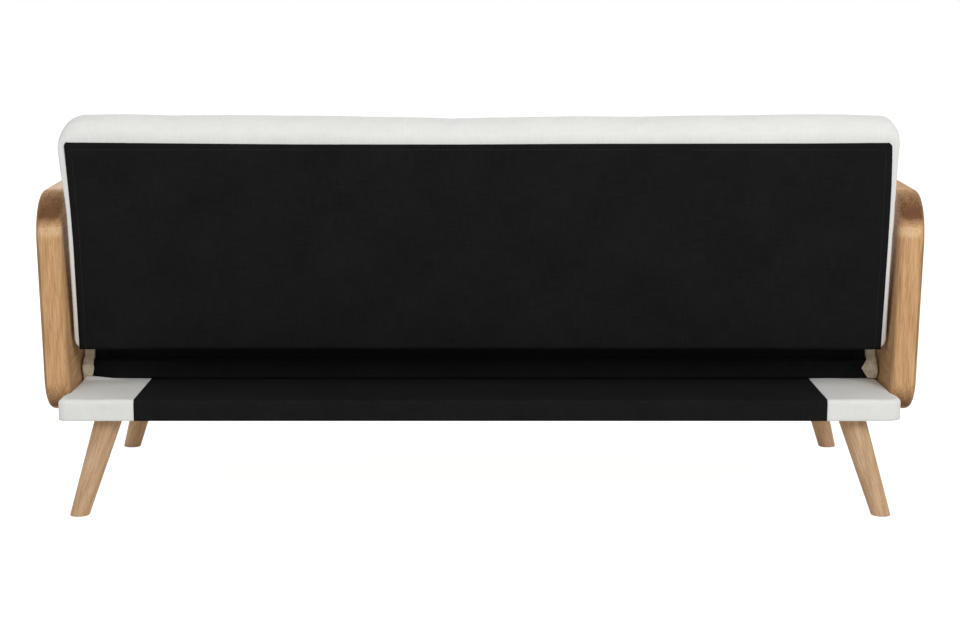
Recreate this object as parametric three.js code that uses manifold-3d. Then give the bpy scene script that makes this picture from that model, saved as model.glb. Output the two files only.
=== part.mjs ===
// A click-clack sofa bed: cream cloth over a timber frame, an open timber frame as the arm at each end, and
// four turned legs. The back turns on two ratchet hinges, and lies down level with the seat to make a bed.
// Millimetres, +Z up, and the front faces -Y. Left and right are those of someone sitting on it: left is +X.
// The origin is on the floor, at the middle of the overall width and depth.

import * as THREE from 'three';
import { mergeVertices } from 'three/addons/utils/BufferGeometryUtils.js';
import Module from 'manifold-3d';

const wasm = await Module();
wasm.setup();

// Clearances, and how far a cutter runs past the faces that it cuts
const gap = 0.3;
const boreClearance = 0.4;
const slotSideMargin = 2;
const slotEndMargin = 2.5;
const overrun = 12;

// Overall depth, from the back edge of the base to the front of the seat
const depth = 820;
const rearY = depth / 2;
const frontY = -depth / 2;

// Base: a low timber box in cloth, which the seat stands on and the back stands over
const baseHalfWidth = 898.2;
const baseUnderside = 213;
const baseHeight = 45;
const baseFrontInset = 40;
const baseCornerRadius = 28;
const baseEdgeRadius = 8;
const coverThickness = 2;
const deckThickness = 9;
const railWidth = 45;
const endBoardWidth = 120;
const centreRailWidth = 60;
const platformDepth = 259;
const creamEndWidth = 154;

// Legs: turned and tapered, each splayed both ways
const footRadius = 20;
const legTopRadius = 29;
const footInset = 28.2;
const rearFootInset = 23;
const frontFootInset = 97;
const legSplayAcross = 0.3;
const legSplayAlong = 0.2;
const legSides = 28;
const legPlateSize = 64;
const legPlateThickness = 3;
const legBoltRadius = 4;
const legBoltInLeg = 26;
const legBoltInBoard = 24;

// Seat: a timber frame and panel on the base, under a boxed cushion
const seatFrameHeight = 39;
const seatFoamHeight = 135;
const seatCrown = 14;
const seatFrontCrown = 10;
const seatEndInset = 5.2;
const seatEndFoam = 11;
const seatSideDraw = 4;
const seatPlanRadius = 26;
const seatTopRadius = 38;
const seatFrameFrontInset = 25;
const seatRailWidth = 30;
const seatPanelThickness = 4;
const cushionSetback = 29;
const rearClothThickness = 1.5;
const rearClothRise = 35;
const flapThickness = 5;

// Back: a timber frame and panel in a soft tray, with black cloth over the frame behind
const backLean = THREE.MathUtils.degToRad(11.33);
const backLength = 517;
const backThickness = 120;
const backEndInset = 1.2;
const backCrown = 15;
const backTopSag = 7;
const backSideDraw = 3;
const backTopCornerRadius = 50;
const backLowCornerRadius = 24;
const backFrontRadius = 46;
const backRearRadius = 9;
const backWrapWidth = 12;
const backBandWidth = 45.6;
const backClothThickness = 1.2;
const backHemWall = 5;
const backTimber = 30;
const backLowRailHeight = 40;
const backPanelThickness = 4;

// Hinges: a seat plate and a ratchet plate side by side on one pin, and a pawl
const flatGap = 14.8;
const pivotDepth = 32.4;
const pivotAboveEnd = 39.5;
const plateThickness = 3;
const pinRadius = 5;
const pinHeadRadius = 8;
const pinHeadThickness = 3;
const plateEyeRadius = 18;
const plateCorner = 6;
const ratchetRadius = 24;
const ratchetToothDepth = 3;
const ratchetTeeth = 24;
const strapWidth = 24;
const strapTop = 190;
const seatPlateArmWidth = 26;
const seatPlateArmInset = 17;
const seatPlateFoot = 78;
const seatPlateFootInset = 3;
const pawlDrop = 47.6;
const pawlStudRadius = 4;
const pawlEyeRadius = 8;
const pawlTipHalfWidth = 3;

// Arms: a loop of two posts and two rails, leaning outwards
const armThickness = 55;
const armLean = THREE.MathUtils.degToRad(1.6);
const armDrop = 4.7;
const armRearInset = 97.5;
const armFrontInset = 32;
const armRearHeight = 483;
const armTopRise = 18;
const armTopRadius = 110;
const armLowRadius = 75;
const armEdgeRadius = 13;
const armPostWidth = 135;
const armLowRailHeight = 123;
const armTopRailHeight = 70;
const armWindowRadius = 35;
const armJointLip = 2;
const armBoltRadius = 4;
const armBoltHeadRadius = 10;
const armBoltHeadThickness = 6;
const armBoltRecess = 8;
const armBoltDepth = 60;
const armBoltBelowDeck = 9.1;

// Steps round a quarter turn and along the cushions
const curveSteps = 4;
const cornerSteps = 3;
const longSteps = 14;
const shortSteps = 5;
const boltSides = 12;
const quarterTurn = Math.PI / 2;

const creamCloth = new THREE.MeshStandardMaterial({ color: '#e4e3e0', roughness: 0.92, metalness: 0 });
const blackCloth = new THREE.MeshStandardMaterial({ color: '#1f2022', roughness: 0.95, metalness: 0 });
const armTimber = new THREE.MeshStandardMaterial({ color: '#c9a778', roughness: 0.5, metalness: 0 });
const legTimber = new THREE.MeshStandardMaterial({ color: '#c8a473', roughness: 0.5, metalness: 0 });
const frameTimber = new THREE.MeshStandardMaterial({ color: '#d8bd92', roughness: 0.7, metalness: 0 });
const plywood = new THREE.MeshStandardMaterial({ color: '#cfb183', roughness: 0.75, metalness: 0 });
const steel = new THREE.MeshStandardMaterial({ color: '#8d9196', roughness: 0.4, metalness: 0.9 });

const sofa = new THREE.Group();

function place(name, geometry, material, parent = sofa) {
  const mesh = new THREE.Mesh(geometry, material.clone());
  mesh.name = name;
  parent.add(mesh);
}

// The same shape on the other side of the middle, with its faces still pointing out
function mirrored(geometry) {
  const other = geometry.clone();
  other.deleteAttribute('normal');
  other.scale(-1, 1, 1);
  const corners = other.index ? [...other.index.array] : [...Array(other.attributes.position.count).keys()];
  const turned = [];
  for (let i = 0; i < corners.length; i += 3) turned.push(corners[i], corners[i + 2], corners[i + 1]);
  other.setIndex(turned);
  other.computeVertexNormals();
  return other;
}

function placePair(name, geometry, material, leftParent = sofa, rightParent = leftParent) {
  place(`${name}_left`, geometry, material, leftParent);
  place(`${name}_right`, mirrored(geometry), material, rightParent);
}

function toSolid(geometry) {
  const bare = geometry.clone();
  bare.deleteAttribute('normal');
  bare.deleteAttribute('uv');
  const merged = mergeVertices(bare);
  return new wasm.Manifold(new wasm.Mesh({
    numProp: 3,
    vertProperties: new Float32Array(merged.attributes.position.array),
    triVerts: new Uint32Array(merged.index.array),
  }));
}

function toGeometry(solid) {
  const mesh = solid.getMesh();
  const geometry = new THREE.BufferGeometry();
  geometry.setAttribute('position', new THREE.BufferAttribute(mesh.vertProperties, mesh.numProp));
  geometry.setIndex(new THREE.BufferAttribute(mesh.triVerts, 1));
  geometry.computeVertexNormals();
  return geometry;
}

function cut(geometry, ...cutters) {
  return toGeometry(cutters.reduce((solid, cutter) => solid.subtract(toSolid(cutter)), toSolid(geometry)));
}

function join(geometry, ...others) {
  return toGeometry(others.reduce((solid, other) => solid.add(toSolid(other)), toSolid(geometry)));
}

function common(geometry, ...others) {
  return toGeometry(others.reduce((solid, other) => solid.intersect(toSolid(other)), toSolid(geometry)));
}

// A box between two places on each axis
function block([x0, x1], [y0, y1], [z0, z1]) {
  const geometry = new THREE.BoxGeometry(x1 - x0, y1 - y0, z1 - z0);
  geometry.translate((x0 + x1) / 2, (y0 + y1) / 2, (z0 + z1) / 2);
  return geometry;
}

// A closed path through corners given as [across, up, radius], anticlockwise, and sharp where the radius is 0
function filleted(corners, path = new THREE.Shape()) {
  corners.forEach(([across, up, radius], i) => {
    if (!radius) {
      if (i) path.lineTo(across, up);
      else path.moveTo(across, up);
      return;
    }
    const corner = new THREE.Vector2(across, up);
    const [beforeAcross, beforeUp] = corners.at(i - 1);
    const [afterAcross, afterUp] = corners[(i + 1) % corners.length];
    const before = new THREE.Vector2(beforeAcross, beforeUp).sub(corner).normalize();
    const after = new THREE.Vector2(afterAcross, afterUp).sub(corner).normalize();
    const half = Math.acos(before.dot(after)) / 2;
    const centre = before.clone().add(after).setLength(radius / Math.sin(half)).add(corner);
    const start = before.clone().multiplyScalar(radius / Math.tan(half)).add(corner).sub(centre);
    const end = after.clone().multiplyScalar(radius / Math.tan(half)).add(corner).sub(centre);
    const hollow = before.cross(after) > 0;
    path.absarc(centre.x, centre.y, radius, start.angle(), end.angle(), hollow);
  });
  return path;
}

// A flat piece drawn as a side view, across to the back and up, and given its thickness along X
const sideways = new THREE.Matrix4().makeBasis(
  new THREE.Vector3(0, 1, 0),
  new THREE.Vector3(0, 0, 1),
  new THREE.Vector3(1, 0, 0),
);
function sidePiece(shape, x0, x1, edge = 0) {
  const geometry = new THREE.ExtrudeGeometry(shape, {
    depth: x1 - x0 - 2 * edge,
    curveSegments: curveSteps,
    bevelEnabled: edge > 0,
    bevelThickness: edge,
    bevelSize: edge,
    bevelOffset: -edge,
    bevelSegments: cornerSteps,
  });
  geometry.applyMatrix4(sideways);
  geometry.translate(x0 + edge, 0, 0);
  return geometry;
}

// A rod along X
function crossRod(radius, x0, x1, y, z, sides = boltSides) {
  const geometry = new THREE.CylinderGeometry(radius, radius, x1 - x0, sides);
  geometry.rotateZ(quarterTurn);
  geometry.translate((x0 + x1) / 2, y, z);
  return geometry;
}

// The base's outline in plan, drawn in by an inset, between two heights
const baseFrontY = frontY + baseFrontInset;
const baseTop = baseUnderside + baseHeight;
function baseSlab(inset, bottom, top, edge = 0) {
  const halfWidth = baseHalfWidth - inset;
  const radius = baseCornerRadius - inset;
  const shape = filleted([
    [halfWidth, baseFrontY + inset, radius],
    [halfWidth, rearY - inset, radius],
    [-halfWidth, rearY - inset, radius],
    [-halfWidth, baseFrontY + inset, radius],
  ]);
  const geometry = new THREE.ExtrudeGeometry(shape, {
    depth: top - bottom - 2 * edge,
    curveSegments: cornerSteps,
    bevelEnabled: edge > 0,
    bevelThickness: edge,
    bevelSize: edge,
    bevelOffset: -edge,
    bevelSegments: cornerSteps,
  });
  geometry.translate(0, 0, bottom + edge);
  return geometry;
}

// Everything between two heights, or in one stretch of the width or depth
const far = baseHalfWidth + depth;
const everywhere = [-far, far];
const layer = (z0, z1) => block(everywhere, everywhere, [z0, z1]);

// Base timber: a deck on two end boards and three rails, inside the cloth
const timberInset = coverThickness + gap;
const deckTop = baseTop - timberInset;
const deckBottom = deckTop - deckThickness;
const railTop = deckBottom - gap;
const timberHalfWidth = baseHalfWidth - timberInset;
const endBoardInnerX = timberHalfWidth - endBoardWidth;
const seatRearY = rearY - platformDepth;

// Places along a leg's axis, which crosses the floor at the middle of its foot
const legPlateBottom = baseUnderside - gap - legPlateThickness;
const legTop = legPlateBottom - gap;
function alongLeg(foot, towardsBack, lowRadius, highRadius, z0, z1, sides) {
  const axis = new THREE.Vector3(-legSplayAcross, -towardsBack * legSplayAlong, 1);
  const geometry = new THREE.CylinderGeometry(highRadius, lowRadius, (z1 - z0) * axis.length(), sides);
  const turn = new THREE.Quaternion().setFromUnitVectors(THREE.Object3D.DEFAULT_UP, axis.clone().normalize());
  geometry.applyQuaternion(turn);
  const middle = axis.clone().multiplyScalar((z0 + z1) / 2).add(foot);
  geometry.translate(middle.x, middle.y, middle.z);
  return geometry;
}
const footX = baseHalfWidth - footInset;
const legs = [
  { name: 'rear', foot: new THREE.Vector3(footX, rearY - rearFootInset, 0), towardsBack: 1 },
  { name: 'front', foot: new THREE.Vector3(footX, frontY + frontFootInset, 0), towardsBack: -1 },
];
const legBoltBottom = legTop - legBoltInLeg;
const legBoltTop = baseUnderside + legBoltInBoard;
const legBore = ({ foot, towardsBack }) => {
  const radius = legBoltRadius + boreClearance;
  return alongLeg(foot, towardsBack, radius, radius, legBoltBottom - gap, legBoltTop + gap, boltSides);
};

// Arm groups stand on the ends of the base and lean outwards
const armInnerX = baseHalfWidth + gap;
const armUnderside = baseUnderside - armDrop;
const armRearY = rearY - armRearInset;
const armFrontY = frontY + armFrontInset;
const armLeft = new THREE.Group();
armLeft.position.set(armInnerX, 0, armUnderside);
armLeft.rotation.y = armLean;
armLeft.updateMatrix();
const armRight = new THREE.Group();
armRight.position.set(-armInnerX, 0, armUnderside);
armRight.rotation.y = -armLean;
sofa.add(armLeft, armRight);

const armBoltPlaces = [
  { name: 'rear', y: armRearY - armPostWidth / 2 },
  { name: 'front', y: armFrontY + armPostWidth / 2 },
];
const armBoltHeight = railTop - armBoltBelowDeck - armUnderside;
const armBoltOuterX = armThickness - armBoltRecess + armBoltHeadThickness;
const armBolt = (y, clearance) => join(
  crossRod(armBoltRadius + clearance, -armBoltDepth - clearance, armBoltOuterX - gap, y, armBoltHeight),
  crossRod(
    armBoltHeadRadius + clearance,
    armThickness - armBoltRecess,
    clearance ? armThickness + overrun : armBoltOuterX,
    y,
    armBoltHeight,
  ),
);
const armBores = armBoltPlaces.map(({ y }) => armBolt(y, boreClearance));

// Base pieces
{
  const inner = (bottom, top) => baseSlab(timberInset, bottom, top);
  const rails = [baseUnderside, railTop];
  place(
    'base_deck',
    common(
      baseSlab(timberInset, deckBottom - overrun, deckTop, baseEdgeRadius - timberInset),
      layer(deckBottom, deckTop + overrun),
    ),
    plywood,
  );
  const endBoard = common(
    inner(...rails),
    block([endBoardInnerX, far], everywhere, [baseUnderside - overrun, railTop + overrun]),
  );
  const intoBoard = armBores.map((bore) => bore.clone().applyMatrix4(armLeft.matrix));
  placePair('base_end_board', cut(endBoard, ...legs.map(legBore), ...intoBoard), frameTimber);
  const between = [-endBoardInnerX + gap, endBoardInnerX - gap];
  const rearRailFront = rearY - timberInset - railWidth;
  const frontRailRear = baseFrontY + timberInset + railWidth;
  place('base_rear_rail', block(between, [rearRailFront, rearY - timberInset], rails), frameTimber);
  place('base_front_rail', block(between, [baseFrontY + timberInset, frontRailRear], rails), frameTimber);
  const halfCentre = centreRailWidth / 2;
  const centreRun = [frontRailRear + gap, rearRailFront - gap];
  place('base_centre_rail', block([-halfCentre, halfCentre], centreRun, rails), frameTimber);

  // Cloth: black over the middle of the platform behind the seat, cream round each end and along the front
  const outer = baseSlab(0, baseUnderside - overrun, baseTop, baseEdgeRadius);
  const hollow = baseSlab(
    coverThickness,
    baseUnderside - 2 * overrun,
    baseTop - coverThickness,
    baseEdgeRadius - coverThickness,
  );
  const skin = common(cut(outer, hollow), layer(baseUnderside, baseTop + overrun));
  const behindSeat = [seatRearY + gap, far];
  const seamX = baseHalfWidth - creamEndWidth;
  const upright = [baseUnderside - overrun, baseTop + overrun];
  const betweenSeams = block([-seamX + gap, seamX - gap], behindSeat, upright);
  place('platform_cover_black', common(skin, betweenSeams), blackCloth);
  const creamEnd = common(skin, block([seamX, far], behindSeat, upright));
  placePair('platform_cover_cream', cut(creamEnd, ...intoBoard), creamCloth);
  const band = cut(skin, baseSlab(coverThickness, baseUnderside - overrun, baseTop + overrun));
  const underSeat = block(everywhere, [-far, seatRearY], [baseUnderside - overrun, deckTop]);
  const frontBand = common(band, underSeat);
  place('base_cover_front', cut(frontBand, ...intoBoard, ...intoBoard.map(mirrored)), creamCloth);
}

// Legs, each on a steel plate and one hanger bolt
const legTaper = (legTopRadius - footRadius) / legTop;
for (const leg of legs) {
  const { name, foot, towardsBack } = leg;
  const lowRadius = footRadius - legTaper * overrun;
  const highRadius = legTopRadius + legTaper * overrun;
  const turned = alongLeg(foot, towardsBack, lowRadius, highRadius, -overrun, legTop + overrun, legSides);
  placePair(`leg_${name}`, cut(common(turned, layer(0, legTop)), legBore(leg)), legTimber);
  const x = foot.x - legSplayAcross * legPlateBottom;
  const y = foot.y - towardsBack * legSplayAlong * legPlateBottom;
  const half = legPlateSize / 2;
  const plateHeights = [legPlateBottom, legPlateBottom + legPlateThickness];
  const plate = block([x - half, x + half], [y - half, y + half], plateHeights);
  placePair(`leg_plate_${name}`, cut(plate, legBore(leg)), steel);
  const boltRun = [legBoltBottom, legBoltTop];
  const bolt = alongLeg(foot, towardsBack, legBoltRadius, legBoltRadius, ...boltRun, boltSides);
  placePair(`leg_bolt_${name}`, bolt, steel);
}

// Arm pieces: one outline with a window. The top rail lies over both posts, the low rail between them.
{
  const armFrontHeight = armRearHeight + armTopRise;
  const outline = filleted([
    [armRearY, 0, armLowRadius],
    [armRearY, armRearHeight, armTopRadius],
    [armFrontY, armFrontHeight, armTopRadius],
    [armFrontY, 0, armLowRadius],
  ]);
  const windowTop = armRearHeight - armTopRailHeight;
  outline.holes.push(filleted([
    [armRearY - armPostWidth, armLowRailHeight, armWindowRadius],
    [armRearY - armPostWidth, windowTop, armWindowRadius],
    [armFrontY + armPostWidth, windowTop, armWindowRadius],
    [armFrontY + armPostWidth, armLowRailHeight, armWindowRadius],
  ], new THREE.Path()));
  const loop = sidePiece(outline, 0, armThickness, armEdgeRadius);
  const topJoint = windowTop - armJointLip;
  const rearJoint = armRearY - armPostWidth - armJointLip;
  const frontJoint = armFrontY + armPostWidth + armJointLip;
  const railRun = [frontJoint + gap / 2, rearJoint - gap / 2];
  const postHeights = [-overrun, topJoint - gap / 2];
  const rearPost = common(loop, block(everywhere, [rearJoint + gap / 2, far], postHeights));
  const frontPost = common(loop, block(everywhere, [-far, frontJoint - gap / 2], postHeights));
  const pieces = {
    arm_low_rail: common(loop, block(everywhere, railRun, [-overrun, armRearHeight / 2])),
    arm_top_rail: common(loop, layer(topJoint + gap / 2, armFrontHeight + overrun)),
    arm_post_rear: cut(rearPost, ...armBores),
    arm_post_front: cut(frontPost, ...armBores),
  };
  for (const [name, geometry] of Object.entries(pieces)) {
    placePair(name, geometry, armTimber, armLeft, armRight);
  }
  for (const { name, y } of armBoltPlaces) {
    placePair(`arm_bolt_${name}`, armBolt(y, 0), steel, armLeft, armRight);
  }
}

// Seat and back, kept inside the ends of the base
const seatBottom = deckTop + gap;
const seatFrameTop = seatBottom + seatFrameHeight;
const seatHeight = seatFrameTop + seatFoamHeight;
const seatHalfWidth = baseHalfWidth - seatEndInset;
const seatFrameHalfWidth = seatHalfWidth - seatEndFoam;
const backHalfWidth = baseHalfWidth - backEndInset;
const backClothHalfWidth = backHalfWidth - backWrapWidth;
const backClothLength = backLength - backBandWidth;

// Where the hinge plates lie across the width, from the inside out
const stileInnerX = backClothHalfWidth - backTimber;
const ratchetX = [stileInnerX - gap - plateThickness, stileInnerX - gap];
const seatPlateX = [ratchetX[0] - gap - plateThickness, ratchetX[0] - gap];
const innerHeadX = [seatPlateX[0] - gap - pinHeadThickness, seatPlateX[0] - gap];
const outerHeadX = [ratchetX[1] + gap, ratchetX[1] + gap + pinHeadThickness];
const slotX = [innerHeadX[0] - gap - slotSideMargin, outerHeadX[1] + gap + slotSideMargin];

// The pivot is where the back's front face comes level with the seat, just behind it, when it lies flat
const cushionRearY = seatRearY - cushionSetback;
const pivotY = cushionRearY + flatGap + pivotAboveEnd;
const pivotZ = seatHeight - pivotDepth;
const seatPlateRear = seatRearY - seatPlateArmInset;
const seatPlateArmFront = seatPlateRear - seatPlateArmWidth;
const pawlY = seatPlateRear - seatPlateArmWidth / 2;
const pawlZ = pivotZ - pawlDrop;

// Rings of points round a rectangle with rounded corners, all with the same number of points
function ringPoints(low, high, lowRadius, highRadius) {
  const corners = [
    [high.x - lowRadius, low.y + lowRadius, lowRadius, -quarterTurn, shortSteps],
    [high.x - highRadius, high.y - highRadius, highRadius, 0, longSteps],
    [low.x + highRadius, high.y - highRadius, highRadius, quarterTurn, shortSteps],
    [low.x + lowRadius, low.y + lowRadius, lowRadius, 2 * quarterTurn, longSteps],
  ];
  const arcs = corners.map(([x, y, radius, from]) => {
    const angles = [...Array(cornerSteps + 1).keys()].map((i) => from + (quarterTurn * i) / cornerSteps);
    return angles.map((a) => new THREE.Vector2(x + radius * Math.cos(a), y + radius * Math.sin(a)));
  });
  return arcs.flatMap((arc, i) => {
    const next = arcs[(i + 1) % arcs.length][0];
    const steps = corners[i][4];
    const straight = [...Array(steps - 1).keys()].map((k) => arc.at(-1).clone().lerp(next, (k + 1) / steps));
    return [...arc, ...straight];
  });
}

// A closed skin over rings that rise one above another, shut at both ends by a fan to its middle
function skinned(rings) {
  const count = rings[0].length;
  const total = (ring) => ring.reduce((sum, point) => sum.add(point), new THREE.Vector3());
  const middle = (ring) => total(ring).divideScalar(count);
  const points = [...rings.flat(), middle(rings[0]), middle(rings.at(-1))];
  const places = points.flatMap((point) => point.toArray());
  const first = rings.length * count;
  const faces = [];
  for (let i = 0; i < count; i += 1) {
    const next = (i + 1) % count;
    faces.push(first, next, i);
    const top = first - count;
    faces.push(first + 1, top + i, top + next);
    for (let level = 0; level < top; level += count) {
      faces.push(level + i, level + next, level + count + next);
      faces.push(level + i, level + count + next, level + count + i);
    }
  }
  const geometry = new THREE.BufferGeometry();
  geometry.setAttribute('position', new THREE.Float32BufferAttribute(places, 3));
  geometry.setIndex(faces);
  return geometry;
}

// A cushion's rings: up its sides, round its upper edge, and in over its top
const capShares = [0.93, 0.78, 0.52, 0.24];
const leastRadiusShare = 0.25;
function cushionRings({ low, high, lowRadius, highRadius, levels, top, topRadius, foot, footRound }) {
  const ringAt = (height, inset) => {
    const smallest = Math.min(lowRadius, highRadius) * leastRadiusShare;
    const drawIn = new THREE.Vector2(inset, inset);
    return ringPoints(
      low.clone().add(drawIn),
      high.clone().sub(drawIn),
      Math.max(lowRadius - inset, smallest),
      Math.max(highRadius - inset, smallest),
    ).map((point) => new THREE.Vector3(point.x, point.y, height));
  };
  const turns = [...Array(curveSteps + 1).keys()].map((i) => (quarterTurn * i) / curveSteps);
  const rings = [];
  for (const turn of footRound ? turns : []) {
    rings.push(ringAt(foot + footRound * (1 - Math.sin(turn)), footRound * (1 - Math.cos(turn))));
  }
  rings.reverse();
  if (!footRound) rings.push(ringAt(foot, 0));
  for (const level of levels) rings.push(ringAt(level, 0));
  for (const turn of turns) {
    rings.push(ringAt(top - topRadius * (1 - Math.sin(turn)), topRadius * (1 - Math.cos(turn))));
  }
  const rim = rings.at(-1);
  const centre = new THREE.Vector3((low.x + high.x) / 2, (low.y + high.y) / 2, top);
  for (const share of capShares) rings.push(rim.map((point) => centre.clone().lerp(point, share)));
  return rings;
}

// Seat pieces
const seatFrontY = frontY + seatFrameFrontInset;
const seatPanelTop = seatFrameTop + gap + seatPanelThickness;
const cushionFrontY = frontY + seatFrontCrown;
{
  const heights = [seatBottom, seatFrameTop];
  const sideRail = block([ratchetX[0], seatFrameHalfWidth], [seatFrontY, seatRearY], heights);
  placePair('seat_side_rail', sideRail, frameTimber);
  const rearRailHalf = seatPlateX[0] - gap;
  const frontRailHalf = ratchetX[0] - gap;
  place(
    'seat_rear_rail',
    block([-rearRailHalf, rearRailHalf], [seatRearY - seatRailWidth, seatRearY], heights),
    frameTimber,
  );
  place(
    'seat_front_rail',
    block([-frontRailHalf, frontRailHalf], [seatFrontY, seatFrontY + seatRailWidth], heights),
    frameTimber,
  );
  const panelHalf = slotX[0] - gap;
  const panelHeights = [seatFrameTop + gap, seatPanelTop];
  const panelRun = [seatFrontY, cushionRearY - gap];
  place('seat_panel', block([-panelHalf, panelHalf], panelRun, panelHeights), plywood);

  const rings = cushionRings({
    low: new THREE.Vector2(-seatHalfWidth, cushionFrontY),
    high: new THREE.Vector2(seatHalfWidth, cushionRearY),
    lowRadius: seatPlanRadius,
    highRadius: seatPlanRadius,
    foot: seatBottom,
    levels: [1, 2].map((i) => seatBottom + ((seatHeight - seatTopRadius - seatBottom) * i) / 3),
    top: seatHeight,
    topRadius: seatTopRadius,
  });
  const halfDepth = (cushionRearY - cushionFrontY) / 2;
  const middleY = (cushionRearY + cushionFrontY) / 2;
  for (const point of rings.flat()) {
    const across = point.x / seatHalfWidth;
    const along = (point.y - middleY) / halfDepth;
    const rise = (point.z - seatBottom) / (seatHeight - seatBottom);
    const swell = Math.sin(Math.PI * rise) ** 2;
    point.x -= seatSideDraw * across ** 7 * (1 - along ** 2);
    if (along < 0) point.y -= seatFrontCrown * along ** 8 * swell * (1 - across ** 6);
    point.z += seatCrown * rise ** 6 * (1 - across ** 6) * (1 - along ** 4);
  }
  const hollow = block(
    [-seatFrameHalfWidth - gap, seatFrameHalfWidth + gap],
    [seatFrontY - gap, far],
    [seatBottom - overrun, seatPanelTop + gap],
  );
  const slotTop = pivotZ + plateEyeRadius + slotEndMargin;
  const slot = block(slotX, [seatPlateArmFront - slotEndMargin, far], [seatBottom - overrun, slotTop]);
  place('seat_cushion', cut(skinned(rings), hollow, slot, mirrored(slot)), creamCloth);

  // Black cloth up the back of the frame, over its rail and up the end of the cushion
  const standY = seatRearY + gap + rearClothThickness;
  const restZ = seatFrameTop + gap;
  const endY = cushionRearY + gap;
  const strip = new THREE.Shape([
    new THREE.Vector2(standY, baseTop + gap),
    new THREE.Vector2(standY, restZ + rearClothThickness),
    new THREE.Vector2(endY + rearClothThickness, restZ + rearClothThickness),
    new THREE.Vector2(endY + rearClothThickness, seatFrameTop + rearClothRise),
    new THREE.Vector2(endY, seatFrameTop + rearClothRise),
    new THREE.Vector2(endY, restZ),
    new THREE.Vector2(seatRearY + gap, restZ),
    new THREE.Vector2(seatRearY + gap, baseTop + gap),
  ]);
  place('seat_rear_cloth', sidePiece(strip, -panelHalf, panelHalf), blackCloth);

  // Cream cloth tucked round each rear corner of the frame
  const tuckTop = restZ + flapThickness;
  const tuckRear = seatRearY + gap + flapThickness;
  const tuck = sidePiece(
    filleted([
      [endY, baseTop + gap, 0],
      [tuckRear, baseTop + gap, 0],
      [tuckRear, tuckTop, flapThickness],
      [endY, tuckTop, 0],
    ]),
    slotX[1],
    seatFrameHalfWidth + gap + flapThickness,
  );
  const core = block(
    [slotX[1] - overrun, seatFrameHalfWidth + gap],
    [endY - overrun, seatRearY + gap],
    [seatBottom - overrun, restZ],
  );
  placePair('seat_corner_tuck', cut(tuck, core), creamCloth);
}

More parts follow.
